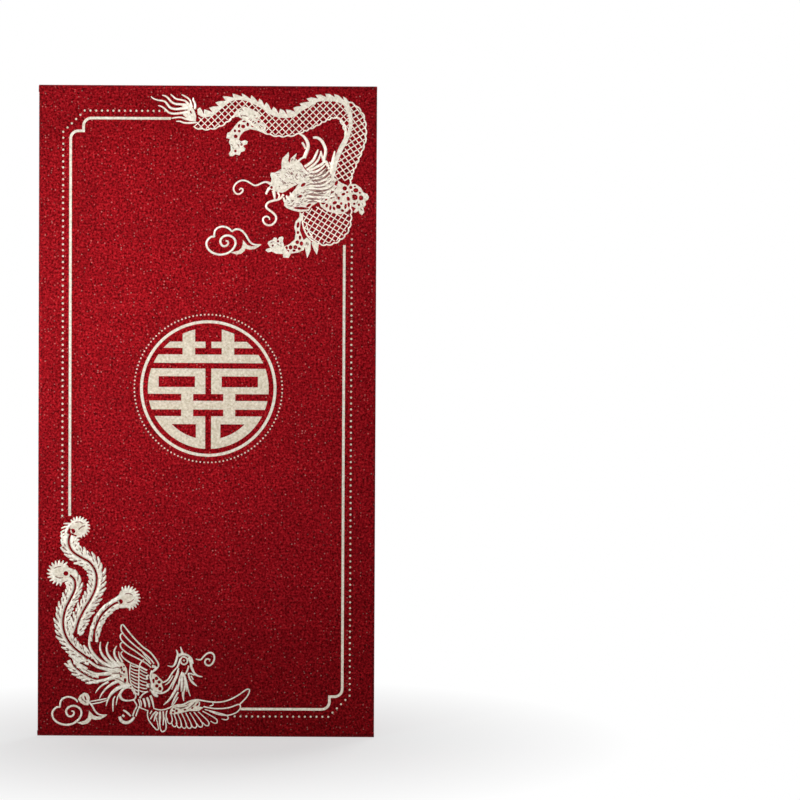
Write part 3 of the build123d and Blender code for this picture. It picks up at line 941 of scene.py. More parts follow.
MANE_PX = [
    [(304, 166, 3), (312, 160, 3), (316, 152, 2.5), (317.5, 148.5, .8)],
    [(306, 169, 2.5), (313, 164, 2.5), (318, 158, 2.2), (320.5, 150, .8)],
    [(308, 170, 2.5), (316, 166, 3), (322, 162.5, 3), (324, 157.5, 1.6)],
    [(305, 172, 2.5), (314, 171, 3), (320, 168, 2.5), (326, 162, 1)],
    [(306, 174.5, 2.8), (315, 174.3, 3), (322, 170.8, 2.6), (329, 164, 1)],
    [(307, 178, 3), (316, 177.5, 3), (324, 174, 2.6), (329.5, 168, 1)],
    [(308, 181, 2.6), (318, 181, 2.8), (326, 177.5, 2.4), (331.5, 171, 1)],
    [(309, 184, 2.4), (319, 184.5, 2.8), (327, 181.5, 2.4), (333, 175, 1)],
    [(308, 187.5, 2.4), (318, 188, 2.6), (327, 186.5, 2.4), (334, 181, 1)],
    [(307, 191, 2.4), (317, 192, 2.6), (326, 191.5, 2.4), (334, 187, 1.2)],
    [(306, 195, 2.4), (316, 196, 2.6), (326, 196.5, 2.4), (335, 193.5, 1.2)],
    [(305, 199, 2.2), (314, 199.5, 2.4), (323, 200.5, 2), (331, 199, 1)],
    [(322, 160, 2.6), (325.5, 161, 3), (327.5, 166, 3), (331, 172, 3)],
    [(329, 161, 1), (330.5, 165, 2.4), (331, 170, 3)],
]
MANE_LINES_PX = [
    [(311, 179.4, .8), (316, 179.6, 2.2), (322, 177.4, 1.6), (326.5, 173.6, .7)],
    [(309.5, 182.6, .7), (314, 183.2, 1.8), (321, 182.4, 2.4), (326, 179.8, .8)],
    [(313, 186.2, .8), (319, 186.4, 1.5), (325, 185, .7)],
    [(308, 188.6, .8), (314, 189.6, 2.5), (321, 190, 2.1), (327, 188.6, 1.4), (331.5, 185.6, .7)],
    [(307, 193.2, .8), (312, 193.6, 2.6), (318, 194.2, 1.8), (323, 194.2, .8)],
    [(316, 191.8, .7), (321, 192.4, 1.2), (325, 192, .6)],
    [(305.5, 197.4, .7), (310, 197.8, 2.2), (315, 198.2, 1.4), (319, 198.4, .7)],
    [(306.5, 201.4, .7), (311, 200.6, 1.6), (316.5, 200.8, .8)],
    [(319.5, 174.6, .7), (322.5, 172.8, 1.9), (325.5, 170, .8)],
    [(322, 171.6, .6), (325, 168.6, 1.6), (327, 165.6, .7)],
]
HEAD_LINES_PX = [
    [(290, 173.6, .8), (291, 172.2, 1.6), (292, 171.6, .8)],
    [(295, 175.6, .8), (296, 173.8, 1.4), (297, 172.6, .7)],
    [(283, 181, .7), (284.4, 182, 1.5), (285.6, 183, .7)],
    [(302.5, 175.6, .7), (304.5, 174.6, 1.3), (306.5, 174.4, .6)],
    [(291, 160.4, .8), (291.6, 158.6, 1.3), (292.6, 157.6, .7)],
    [(294.2, 160.6, .7), (294.6, 158, 1.3), (295.4, 156, .6)],
    [(334.4, 192.6, .8), (336, 195, 1.3), (336.6, 197, .7)],
]
RUFF_PX = [
    (320, 181), (328, 176.5), (334, 177), (341, 182), (346, 184), (350.5, 190), (351.5, 198), (350.5, 206),
    (346, 210.5), (340, 213), (333, 212), (326, 210), (320, 205.5), (317.5, 198), (317, 190),
]
RUFF_HOLES_PX = [
    (329.2, 179.6, .9, 1.4, 20), (335.6, 182, 1.1, 2.3, 25), (344, 187.2, 1.9, 1.9),
    (342.6, 193, 1.7, .9, -20), (338, 197, 1, 1.2), (335.4, 194, 1, .7), (325.4, 197.6, .8, 2, 8),
    (346.3, 191, .8, .6), (347.4, 197.6, 1.2, 2, -20), (340.4, 202.4, .8, 1), (334, 201.6, 2, 1.2, -20),
    (322.6, 201.6, 2, 1.4, -15), (337.6, 205.6, 2.2, 1.7, 30), (333.2, 207.2, .8, 1.6, -25),
    (344.7, 205.2, .8, 2.4, 10), (348, 203.6, 1, 2, -10), (329.6, 206.6, .7, 2.2, 10),
    (326, 204.4, .9, 1.6, 10), (341.6, 209.4, 1.4, .9, 20), (324, 188.6, 2.2, .5, -12),
    (331.6, 191.2, 1.6, .5, -30), (330.6, 196.4, .5, 1.3, 15),
]
HORNS_PX = [
    [(299, 133, 1.5), (303, 135.5, 2.6), (306.5, 140.5, 3.2), (307.5, 146, 3.4), (306, 151, 3.6),
     (303.5, 157, 3.8)],
    [(301.5, 141.5, 2.2), (303.5, 144.5, 2.2), (305, 148, 2)],
    [(312.5, 136.8, 2.2), (316.5, 136.8, 2.8), (320.5, 139.5, 3), (323.5, 144.5, 3.2), (325, 150, 3.2),
     (324, 156, 3.2), (322.5, 160, 3.4)],
    [(320, 150, 1.6), (321, 154, 2), (322, 158, 2)], [(297, 161, 2), (301, 157.5, 2), (305.5, 156, 1.6)],
]
WHISKERS_PX = [
    [(270, 183, 3), (266, 181.3, 2), (262, 182, 1.8), (258, 184, 1.7), (254, 184.7, 1.6), (250, 182.5, 1.6),
     (246, 180.3, 1.6), (241.5, 179.8, 1.7), (237, 181.8, 1.7), (233.8, 185.5, 1.7), (233.3, 189.5, 1.7),
     (235.8, 193, 1.7), (239, 193.3, 1.7), (242, 191, 1.7), (242.3, 188.5, 1.6), (240, 187.8, 1.4),
     (239, 189.5, .9)],
    [(283, 193.5, 2.4), (280.5, 197, 2.3), (277, 199, 2.2), (272, 200, 2.2), (268, 201.5, 2.2),
     (265.8, 204, 2.2), (266, 207, 2.2), (269, 209.5, 2.2), (273, 212.5, 2.2), (275.5, 216, 2.1),
     (275, 220, 2.1), (272, 223.5, 2), (268, 224.5, 1.9), (264.5, 223, 1.9), (262.5, 220, 1.9),
     (263, 217, 1.8), (266, 215.5, 1.7), (268.8, 217, 1.5), (269, 219, 1.2)],
    [(277, 191.5, 2.2), (278.8, 194.5, 1.6), (277.5, 198.5, 1.6)],
]
CHEST_PX = [
    (301, 212), (308, 209.5), (316, 204.5), (324, 209), (334, 212), (345, 210.5), (349, 214), (348.4, 223),
    (345.6, 231), (340.6, 237), (333, 241.6), (325, 243), (317, 241.5), (309, 236.5), (303, 229.5),
    (300.5, 220),
]
CHEST_RIBS_PX = [
    [(302, 212.5, 1.4), (301.8, 221, 1.5), (304, 229.5, 1.6), (308.5, 237, 1.6), (315, 241.5, 1.5)],
    [(305.5, 221, 1.1), (307.5, 229, 1.4), (312, 236.5, 1.4)],
]
CHEST_SPIKES_PX = [
    [(303, 239), (306, 236.5), (310, 240), (309.8, 249), (306.5, 257), (304.8, 250)],
    [(310.5, 241.5), (314, 239.5), (318, 243), (317.3, 248.5), (316, 253.5), (313.3, 249)],
]
FORELEG_PX = [
    (299, 211), (303, 214), (300, 221), (299, 229), (302, 237), (305, 243), (303, 249), (297, 251.5),
    (290, 252.5), (284, 252), (283, 246), (289, 243), (294, 238.5), (295, 232), (293.6, 226), (295, 220.5),
    (298.8, 216),
]
FORELEG_HOLES_PX = [
    (285.9, 246.8, 1, 1.3), (289.9, 246.4, 1.6, 1.8), (294.6, 246.2, 1.7, 1.7), (287.3, 250, 1, .7),
    (296.6, 241.2, 1.5, 1.5), (300.7, 242.5, 1.4, 1.9), (299.3, 236.5, .9, 1.8), (297.3, 231.5, .8, 1.2),
    (297.3, 224, 1, 2.6, 10), (293.4, 249.6, 1.2, .8), (298.5, 247.6, 1.2, 1.1),
]
FRONT_FOOT_PX = [
    (284, 246), (282, 240), (283, 237), (281.5, 235.5), (278.5, 236.5), (277, 239), (276, 237),
    (273.5, 236.5), (272, 239), (268, 240.5), (267, 242.5), (268.5, 245), (270, 247), (266, 248),
    (265, 249.5), (267.5, 251.5), (271, 250.5), (275, 252.5), (279, 253), (282.5, 253), (282.5, 256.5),
    (288, 256.8), (290, 253), (286, 249),
]
FRONT_FOOT_HOLES_PX = [(272.2, 244.6, .6, .8, 25), (277.4, 240.4, .7, .8)]
RIGHT_FOOT_PX = [
    (346, 186.2), (349, 182.6), (355, 183), (359.8, 186.4), (362.8, 191.4), (366.3, 192.6), (368, 195.8),
    (367, 198.4), (364.2, 199.8), (365, 203.5), (362.4, 206.5), (363.4, 211), (361, 213.8), (359, 212.6),
    (357.6, 209.2), (354.4, 211.6), (352.5, 210.6), (355, 207), (351, 205), (349.5, 198), (348.5, 191),
]
RIGHT_FOOT_HOLES_PX = [
    (353.7, 196, 2.9, 2.6, 35), (355, 189.1, 2.2, 1.9), (360.2, 196.6, 1.9, 2.2), (350, 186.2, 1.2, 1.2),
    (353.4, 202.6, .9, .8), (359, 191.6, .7, .7), (354, 185.2, .8, .4), (358, 203.4, .8, .9),
    (350.8, 190.4, .7, .6),
]
MANE_AREA_PX = [
    (306, 171), (318, 170), (327, 164), (330, 172), (330, 192), (327, 200), (310, 201), (306, 190),
]
# Areas of rubbed foil: their corners, how the marks in them lean in degrees, and how many there are
RUBBED_AREAS_PX = [
    ([(275, 172), (283, 167), (300, 164), (306, 172), (304, 180), (292, 184), (282, 188), (274, 186)], 35,
      46),
    ([(286, 199), (296, 192), (306, 186), (308, 200), (302, 205), (289, 206)], -20, 40),
    (MANE_AREA_PX, -8, 54), ([(322, 186), (332, 180), (345, 192), (338, 200), (326, 198)], -40, 22),
    ([(238, 108), (252, 109), (260, 115), (240, 117)], 15, 10),
    ([(230, 140), (240, 141), (243, 149), (232, 152)], 50, 8),
    ([(269, 241), (281, 239), (284, 252), (272, 250)], 30, 10),
    ([(304, 240), (309, 242), (307, 252)], 80, 4), ([(353, 199), (364, 203), (361, 210)], 45, 8),
]
MARK_SEED = 7
MARK_LEAN = 35
MARK_HALF_PX = (0.6, 2.2)
MARK_MIDDLE_PX = (0.5, 1.1)
MARK_END_PX = 0.4


def back_ridge():
    """The dragon's back in one outline: saw teeth that lean away from its head, and a smooth inner edge."""
    teeth = [point for spike in SPIKES_PX for point in spike[:3]]
    inner = flow([RIDGE_START_PX[0]] + [(notch[0], notch[1] + deep) for _, _, notch, deep in SPIKES_PX])
    return RIDGE_START_PX[1:] + teeth + inner[::-1]


def rubbed_marks():
    """Short faint marks strewn unevenly over the wide patches, where the foil was rubbed."""
    draw = Random(MARK_SEED)
    marks = []
    for corners, lean, count in RUBBED_AREAS_PX:
        for _ in range(count):
            place = (-1, -1)
            while not inside(place, corners):
                place = [draw.uniform(min(values), max(values)) for values in zip(*corners)]
            turn = radians(lean + draw.uniform(-MARK_LEAN, MARK_LEAN))
            half = draw.uniform(*MARK_HALF_PX)
            step = (half * cos(turn), half * sin(turn))
            marks.append([(place[0] - step[0], place[1] - step[1], MARK_END_PX),
                          (*place, draw.uniform(*MARK_MIDDLE_PX)),
                          (place[0] + step[0], place[1] + step[1], MARK_END_PX)])
    return marks


def dragon_foil():
    """The dragon across the upper right corner."""
    body = band_frame(flow(BODY_PX))
    neck = band_frame(flow(NECK_PX))
    chest_edge = band_frame(flow(CHEST_EDGE_PX))
    neck_ridge = band_outline(band_frame(flow(NECK_RIDGE_PX)), -1, 1)
    body_net = band_outline(body[::NET_OUTLINE_STEP], *BODY_NET)
    neck_net = band_outline(neck[::NET_OUTLINE_STEP], *NECK_NET)
    strokes = [*TAIL_STRANDS_PX, *FANGS_PX, *MANE_PX, *HORNS_PX, *WHISKERS_PX, *CHEST_RIBS_PX]
    strokes += scale_net(body_net, BODY_KNOT_PX, BODY_SLANTS)
    strokes += scale_net(neck_net, NECK_KNOT_PX, NECK_SLANTS, NECK_LINE_PX)
    strokes += scale_net(CHEST_PX, CHEST_KNOT_PX, CHEST_SLANTS)
    strokes += [scallops(body, BODY_EDGE), scallops(neck, NECK_EDGE), scallops(chest_edge, CHEST_EDGE)]
    strokes += [NECK_INNER_PX, NECK_SPIKE_PX]
    patches = [holed(TAIL_ROOT_PX, TAIL_ROOT_HOLES_PX), [HIP_PX], holed(THIGH_PX, THIGH_HOLES_PX),
               holed(HIND_FOOT_PX, HIND_FOOT_HOLES_PX), holed(UPPER_JAW_PX, UPPER_JAW_HOLES_PX),
               holed(LOWER_JAW_PX, LOWER_JAW_HOLES_PX), holed(RUFF_PX, RUFF_HOLES_PX),
               holed(FORELEG_PX, FORELEG_HOLES_PX), holed(FRONT_FOOT_PX, FRONT_FOOT_HOLES_PX),
               holed(RIGHT_FOOT_PX, RIGHT_FOOT_HOLES_PX)]
    patches += [[outline] for outline in (*CHEST_SPIKES_PX, neck_ridge, back_ridge())]
    lines = HEAD_LINES_PX + MANE_LINES_PX + rubbed_marks()
    # The dragon takes the brightest copies of the foil: its brighter shine is painted light
    foil_piece("dragon_foil", strokes, patches, lines, PAINTED_BRIGHTER_FOIL, PAINTED_BRIGHTEST_FOIL)


# The clouds

CLOUD_PX = [
    [(231.5, 231, 1.8), (229, 228.2, 2), (225, 226.3, 2), (221, 226, 2), (217.5, 227.3, 2), (214.8, 230, 2),
     (214, 233.5, 2), (214, 236.4, 1.8)],
    [(214.2, 236.2, 1.8), (211, 236.2, 2), (207.8, 238.8, 2.2), (206.2, 242.5, 2.2), (207, 247, 2.2),
     (210.5, 251, 2.2), (215.5, 253.3, 2.2), (221, 254, 2.2), (226.5, 252.8, 2.2), (231, 250, 2.2),
     (233.8, 246.5, 2.2), (235.2, 242.5, 2.2), (234.2, 238.5, 2.2), (231, 235.8, 2.2), (227, 234.8, 2.2),
     (223, 236, 2.2), (220.3, 239, 2.2), (220.3, 242.5, 2.2), (222.5, 245.3, 2.2), (225.5, 245.4, 2),
     (227.8, 243, 2), (227.3, 240.5, 1.8), (225.3, 240, 1.4)],
]
CLOUD_TOP_PX = [
    [(231.5, 231, 1.8), (235, 228.8, 2), (239, 228.8, 2), (242.5, 230.8, 2)],
    [(242.5, 230.8, 2), (245.5, 234.5, 2), (248, 239, 1.9), (251, 242.5, 1.8), (255, 244, 1.6),
     (260.5, 243.8, .8)],
]
CLOUD_TAIL_PX = [
    (230, 251.5), (236, 253.8), (241, 252.8), (244, 250), (245, 247.8), (249, 248.9), (254, 248.3),
    (258, 246), (261, 243.6), (256, 245), (251, 245.6), (247, 244.3), (244, 241), (242.6, 239.2),
    (242.3, 243), (241.3, 247), (238.5, 249.8), (234, 251),
]
LOWER_CLOUD_SHIFT_PX = (-153, 472)


def cloud_foil(name, strokes, shift):
    """A curled cloud with a trailing end, moved by a shift."""
    def moved(points):
        return [(point[0] + shift[0], point[1] + shift[1], *point[2:]) for point in points]
    foil_piece(name, [moved(stroke) for stroke in strokes], [[moved(CLOUD_TAIL_PX)]])


# The phoenix

# Plumes: the shaft from head to root, the vanes' reach to its left and right, and the smooth share of a vane
PLUMES_PX = [
    ([(71, 535), (69.5, 540), (70, 546), (73, 551.5), (78, 555.5), (84, 559), (90, 562.5), (94, 567.5),
      (96.8, 574), (97.3, 581), (96, 588.5), (93.5, 595), (91, 600), (88, 605), (85, 610), (82.5, 615),
      (80, 620), (78, 626), (76.5, 632), (75.8, 636)], 8.6, 7.4, 0.62),
    ([(70, 575.3), (74.5, 579), (76, 584), (75.5, 590), (73, 596), (70, 602), (67, 608), (65, 615),
      (64, 622), (64.5, 629), (66.5, 636), (70, 642.5), (75, 648.5), (80.5, 653), (86, 657), (91, 661)],
      6.0, 8.0, 0.62),
    ([(118.5, 602.6), (115, 604), (110, 607.5), (105, 612), (101, 617), (98, 623), (95.5, 630), (94.5, 636),
      (94, 641)], 4.8, 3.4, 0.9),
    ([(72, 660), (75, 666), (80, 671), (86, 675), (93, 678.5), (99, 679)], 1.5, 6.5, 0.62),
]
SHAFT_PX = 0.9
SHAFT_GAP_PX = 0.7
# A vane and its barbs reach their full size so far from the plume's root, where they start from a share of it
VANE_STEP, VANE_LEAST, VANE_GROWTH_PX = 5, 0.5, 14
BARB_PX, BARB_LEAST, BARB_GROWTH_PX = 4.8, 0.6, 18
BARB_SWAY, BARB_SWAY_TURN = 0.1, 2.4
# A barb's root as a share of its vane, and its middle as a share of the way from the vane's middle to its tip
BARB_ROOT, BARB_MIDDLE = 0.55, 0.6
BARB_SHIFTS_PX = (1.5, -0.5, -3.6)
BARB_WIDTHS_PX = (3.4, 3.2, 1.3)
# Dull specks on the vanes: each point's shift along the shaft, its share of the speck's place, and its width
SPECK_POINTS_PX = [(1.2, 1.0, 0.7), (-0.6, 1.25, 1.5), (-1.8, 1.4, 0.7)]
SPECK_OUT, SPECK_SWAY, SPECK_SWAY_TURN = 0.5, 0.12, 2.9
SPECK_SHIFT, SPECK_SHIFT_TURN = 0.3, 1.7
# Plume heads: centre, radius, where the fan of teeth starts and ends in degrees, and the eye's centre
PLUME_HEADS_PX = [
    (79.6, 527.6, 10.6, -140, 75, 73.5, 531.5), (60.8, 573.5, 12.5, 85, 300, 66.6, 574),
    (128, 598.5, 12, -120, 78, 120.8, 602),
]
TEETH = 13
# A tooth's points: share of the radius, lean in radians, and width
TOOTH_POINTS = [(0.45, 0, 3.6), (0.8, 0, 2.5), (1.05, 0.06, 0.9)]
HEAD_DISC = (0.86, 0.84)
EYE_PX = 2.6
PLUME_WRAPS_PX = [
    [(66.8, 547, 2.2), (66.2, 538, 2.6), (67.2, 531, 2.8), (70.2, 526, 3), (75, 522, 3)],
    [(78.5, 545, 2.4), (76, 541, 2.2), (77.5, 537.5, 2.4), (82, 536, 2.4)],
    [(67, 569, 3), (72.5, 571, 3.6), (77, 575, 3.4)], [(66, 580.5, 3.4), (71, 580, 3), (73, 584, 2.6)],
    [(116, 600, 4), (121, 596.5, 4), (126, 594, 3)], [(117, 606.5, 3), (122, 606.8, 3.6), (127, 606.5, 3)],
    [(84, 646, 2), (87, 650, 3), (90, 655, 3)], [(70, 655, 4), (75, 658, 5), (81, 663, 4)],
    [(76, 663, 3), (82, 667, 4), (88, 670, 3)],
]
WRAP_BARB_PX = 3.36
WRAP_BARB_POINTS_PX = [(0, 0.4, 2.2), (-1.5, 2.0, 1.9), (-3.6, 4.0, 0.9)]
STREAMERS_PX = [
    [(90, 636, 1.5), (90, 646, 2.5), (93, 653, 3), (98, 659, 3), (104, 664, 3.5), (112, 668, 5),
     (118, 671, 6)],
    [(101, 642.5, 1), (100.5, 648, 2), (102, 654, 2.5), (106, 659.5, 3), (111, 664, 3.5), (117, 668, 4)],
    [(108.5, 642.5, 1), (107, 648, 2), (108, 654, 2.5), (111, 659, 3), (115, 663.5, 3.5), (119, 667, 4)],
    [(117, 646.5, 1), (114.8, 651, 2), (115, 656, 2.4), (117.5, 660.5, 2.8), (121, 665, 3)],
    [(88, 660.5, 2.4), (97, 667, 3), (105, 669.5, 3.5), (113, 671, 5)],
    [(88, 671, 1.2), (92, 673, 2.4), (98, 675, 3), (105, 674.7, 4), (112, 673.5, 5)],
    [(94, 682, 2), (101, 681.5, 3), (108, 680, 3.5), (115, 677.5, 5), (120, 676, 5)],
    [(96, 694, .8), (99, 689.5, 1.5), (103.5, 685.5, 2), (109, 682.5, 2.5)],
    [(100, 699.5, .8), (102.5, 694.5, 1.6), (107, 689, 2.2), (113, 684.5, 3), (119, 681.5, 3.5)],
    [(106.5, 707, .8), (108, 701.5, 1.8), (111, 695.5, 2.8), (116, 690.5, 3.8), (122, 687.5, 4),
     (130, 686.5, 2.6)],
    [(113.5, 712.5, .8), (113.3, 706, 1.8), (113.8, 700, 1.6), (115.5, 697, 1)],
    [(116.5, 706, .8), (118, 698, 1.6), (121, 692.5, 1.4)],
    [(92, 654, 1), (94.5, 659, 1.8), (98.5, 664, 2.2)], [(119, 652, .9), (119.8, 657, 1.6), (123, 663, 2)],
]
RUMP_PX = [
    (110, 667), (118, 661.5), (124, 664), (127, 669), (128, 676), (128.5, 683), (132, 686.5), (124, 688),
    (118, 683), (112, 677.5),
]
RUMP_HOLES_PX = [
    (121.5, 668, .8, .7), (124.3, 672.5, .7, 1), (121, 677, .8, .7), (125.4, 681, .9, 2),
    (124.3, 667.3, .4, .5), (122.3, 671, .5, .9), (119.6, 673.8, .5, .6),
]
LEGS_PX = [
    [(91, 702.5, 1.2), (99, 701, 1.5), (107, 699.5, 1.2)],
    [(92, 705, 1.2), (100, 703.5, 1.5), (108, 701, 1)],
    [(134, 690, 1.4), (136, 696, 1.6), (134.5, 700, 1.6), (128, 701.5, 1.6), (122.5, 700, 2.6),
     (120.3, 695.5, 2.8), (123, 690.5, 2.4), (128, 688.2, 1.8), (133, 689.5, 1.5)],
    [(133.5, 700, 1.4), (136, 704, 1.5), (137, 707, 1.5), (134.5, 712, 1.5), (133, 717, 1.8)],
    [(138.5, 700, 1.2), (140, 706, 1.4), (138, 711, 1.4), (136, 717, 1.6)],
    [(120, 717.5, 3.4), (121.5, 721.5, 3.4), (126, 723.7, 3.4), (131, 722, 3), (134.5, 718, 2.4)],
    [(123.5, 711, 1.4), (127, 713, 2.2), (131, 717, 1.6)], [(122.5, 716, 2.6), (124.8, 717.5, 2.2)],
]
CURLED_FOOT_PX = [
    (78.5, 700), (81, 696), (85, 693.5), (88.5, 694.5), (90.3, 698), (90, 703), (89, 706.3), (85, 706),
    (81, 703.5),
]
CURLED_FOOT_HOLES_PX = [(86, 699, .4, 2.1, -20)]
# How much thinner the wings and the breast are drawn than the widths in their tables
RAISED_WING_THIN = 0.8
BREAST_THIN = 0.92
LOWER_WING_THIN = 0.85
RAISED_WING_PX = [
    [(122, 627, 1.4), (121.5, 625.5, 1.6), (123.2, 625, 1.6), (132, 636, 1.9), (142, 646.5, 1.9),
     (150, 652.5, 2), (156, 660, 2), (158.5, 665, 2), (157, 669, 1.8), (152, 673, 1.8)],
    [(121.5, 626, 1.6), (121.3, 629.5, 1.8), (123, 633.5, 1.8), (128, 639.5, 1.8), (135, 646, 1.8),
     (143, 652.5, 1.8), (150, 659, 1.8), (154, 664, 1.8)],
    [(122.5, 633.8, 1.6), (120.6, 636, 1.7), (121.8, 640.5, 1.8), (128, 646.5, 1.8), (136, 652, 1.8),
     (144, 658, 1.8), (151, 664.5, 1.8)],
    [(122.5, 642.7, 1.6), (120.6, 645, 1.7), (122.3, 649.5, 1.8), (129, 654.5, 1.8), (137, 658.5, 1.8),
     (146, 663.5, 1.8), (151, 668, 1.5)],
    [(123, 652, 1.6), (121.2, 654, 1.7), (123.3, 658, 1.8), (130, 663, 1.8), (138, 666.5, 1.8),
     (147, 671, 1.6)],
    [(141, 650, 1.4), (145, 656, 1.4), (150, 662, 1.4)],
]
# Ladders on the breast: both ends of the left rail, both ends of the right rail, and how many rungs there are
LADDERS_PX = [
    ((130.5, 664), (132, 692), (138.6, 666), (138.8, 697), 9),
    ((139.4, 664), (139.4, 693), (147.5, 669), (147, 694), 8),
]
RUNG_SAG_PX = 0.6
RUNG_END_PX = 1.0
RUNG_MIDDLE_PX = 1.35
BREAST_PX = [
    [(144, 660, 1.6), (140, 665, 1.5), (139, 675, 1.6), (139, 685, 1.6), (138.5, 696, 1.6)],
    [(131, 663, 1.3), (130, 672, 1.4), (130.5, 681, 1.4), (132.5, 688, 1.4), (134.5, 695, 1.4)],
    [(149, 675.5, 2), (147, 677, 2.4), (147.6, 680, 2.4)], [(148.5, 684, 4.6), (148.5, 688, 5.4)],
    [(152, 671, 2), (150.5, 677, 2.2), (152, 684, 2.4)],
    [(152, 666.5, 3.4), (156, 668, 2.6), (153, 672, 2)],
    [(153, 684, 4.6), (153, 691, 5.4), (155.5, 695.5, 4.4), (158, 697, 2)],
    [(150, 690, 2.4), (155, 693, 2.2), (162, 693.6, 2), (168, 690.5, 2), (172, 684, 2), (176, 676, 2),
     (178.5, 668.5, 1.6)],
    [(163, 683, 1.4), (168, 680, 1.8), (172, 673.5, 1.8), (177, 667.5, 1.6)],
    [(165, 685.5, 1), (169, 682.5, 1.4), (173, 676, 1.2)],
    [(171.5, 690, .8), (174, 683, 1.8), (177, 676.5, 2), (178.5, 671, 1.4)],
    [(140, 699, 2), (143, 695, 1.6), (148, 692, 1.8)], [(140, 700, 1), (141.5, 704, 1.5), (141, 708, .8)],
    [(143.5, 699, 2.4), (145, 704, 2.6), (145.5, 708, 1.2)],
    [(147, 698, 2.6), (149, 703, 2.6), (149.5, 708, 1.2)],
    [(150.5, 696, 2.6), (152.5, 702, 2.4), (153.8, 708.5, 1.2)],
    [(138, 707.5, 1.2), (143, 709.5, 1.4), (148, 711.5, 1.4)],
    [(153.5, 709, 1.2), (159, 710.5, 1.4), (165, 710, 1.6), (172, 706.5, 1.6), (178, 697.5, 1.2)],
]
CHAIN_PX = [
    (152, 673.5), (156, 675), (160.5, 679.3), (163, 682), (161.8, 685), (163.2, 689), (161.5, 692.8),
    (157, 692.3), (153, 690), (151.5, 682),
]
CHAIN_HOLES_PX = [
    (156.4, 679, 1.4, 1.4), (159.1, 682.5, 1.3, 1.3), (156.8, 686.5, 1.4, 1.4), (159.9, 689.2, 1.3, 1.6),
    (153.5, 681.5, .8, 2),
]
HEAD_PX = [
    [(176, 650, .8), (177.5, 654, 2), (176.5, 659, 2.4), (175, 664, 2.2), (172, 667, 1.6),
     (167.5, 666, .8)],
    [(180.3, 647, .8), (181.5, 651, 2), (182.5, 654.5, 3)],
    [(178, 656, 3), (182, 654.5, 2.8), (187, 655.5, 2.4), (191, 659, 2.2), (192.5, 664, 2)],
    [(188, 658, 3.4), (190.5, 662, 3.2), (191, 667, 2.4), (193, 672, 2), (197, 676, 1.8), (202, 677, .8)],
    [(192, 668, 1.4), (194, 673, 1.2)], [(188.5, 666, 2), (187, 671, 1.8), (185, 674.5, 1.4)],
    [(187.5, 674, 1.4), (191, 674, 1.6), (194, 675.5, 1.2)],
    [(188, 674, 1.6), (189.5, 679, 2), (192.5, 683, 2.4), (196.5, 686.5, .9)],
    [(190.5, 676, 1.4), (193, 680, 1.4)], [(177, 668.5, 2), (179, 663, 2), (180, 659, 2)],
    [(180.2, 660.5, 1.6), (181.5, 657.6, 1.7), (184.5, 657.2, 1.7), (187, 659.6, 1.7), (186.8, 663, 1.7),
     (184, 664.8, 1.7), (181.3, 663.6, 1.7), (180.2, 660.5, 1.6)],
    [(183, 660.5, 1.6), (184.6, 661, 1.4)], [(178, 684, .9), (180, 677, 1.6), (182, 672, 1.2)],
    [(181, 692, 1), (181.5, 685, 2.6), (182, 678, 3), (182, 673, 1.6)],
    [(183.5, 701.5, .9), (182.8, 695, 2.6), (184, 687, 3.4), (184, 678, 3), (183, 673, 1.6)],
    [(190, 696.5, .8), (187.8, 690, 1.6), (186, 682, 2), (184.5, 676, 1.6)],
    [(186.5, 692, .7), (185.5, 685, 1.6), (184.6, 679, 1.6)],
    [(177.5, 691, 1), (178.6, 685, 1.8), (180, 679, 1.6)],
    [(163.5, 705.5, .8), (169, 700.5, 2.2), (174, 693, 2.8), (177.5, 685, 2)],
    [(171.5, 705.5, .8), (174.5, 699, 2), (178, 692.5, 2)],
    [(195.5, 659.2, 1), (200, 660, 1.6), (203, 657, 1.6), (206.5, 653.8, 1.8), (210.5, 652.8, 1.8),
     (213.3, 655, 1.8), (213.8, 659, 1.8), (212, 663.5, 1.8), (208.5, 665.8, 1.8), (205.3, 664.5, 1.8),
     (204.5, 661.5, 1.7), (206.5, 659, 1.6), (209.3, 659.8, 1.4), (209, 661.5, .9)],
]
LOWER_WING_PX = [
    [(176, 706, 2), (183, 705, 2), (190, 701.5, 2), (197, 700.3, 2), (205, 701.5, 1.8), (214, 702.5, 1.7),
     (222, 702, 1.7), (230, 699.5, 1.7), (238, 695, 1.6), (245, 690, 1.6), (248, 689.2, 1.5),
     (248.6, 691.5, 1.5), (246, 697, 1.6), (241, 702.5, 1.6), (238.5, 705, 1.6)],
    [(203, 707, 1.6), (215, 709, 1.7), (228, 708, 1.7), (238, 704.6, 1.6), (239.5, 708, 1.5),
     (236, 712.5, 1.6), (228, 715.5, 1.6), (218, 714.8, 1.6), (209, 711.5, 1.5)],
    [(211.5, 702, 1.3), (212.8, 705, 1.5), (209, 706.5, 1.3)],
    [(199, 702, 1.3), (198.5, 706, 1.6), (194, 709, 1.4)],
]
# Feathers under the lower wing: root and tip
LOWER_FEATHERS_PX = [
    ((204, 711), (227.5, 718.8)), ((201.5, 712.5), (216.5, 723)), ((197, 713), (208, 726)),
    ((192.5, 713), (201.3, 727.5)), ((188.3, 713.5), (195.2, 728.5)), ((184.2, 713.5), (189.8, 729)),
    ((180.2, 714), (184.6, 729)), ((176.2, 714), (179.6, 728.5)), ((172.4, 714), (174.8, 727.5)),
    ((169, 713), (170, 724.5)),
]
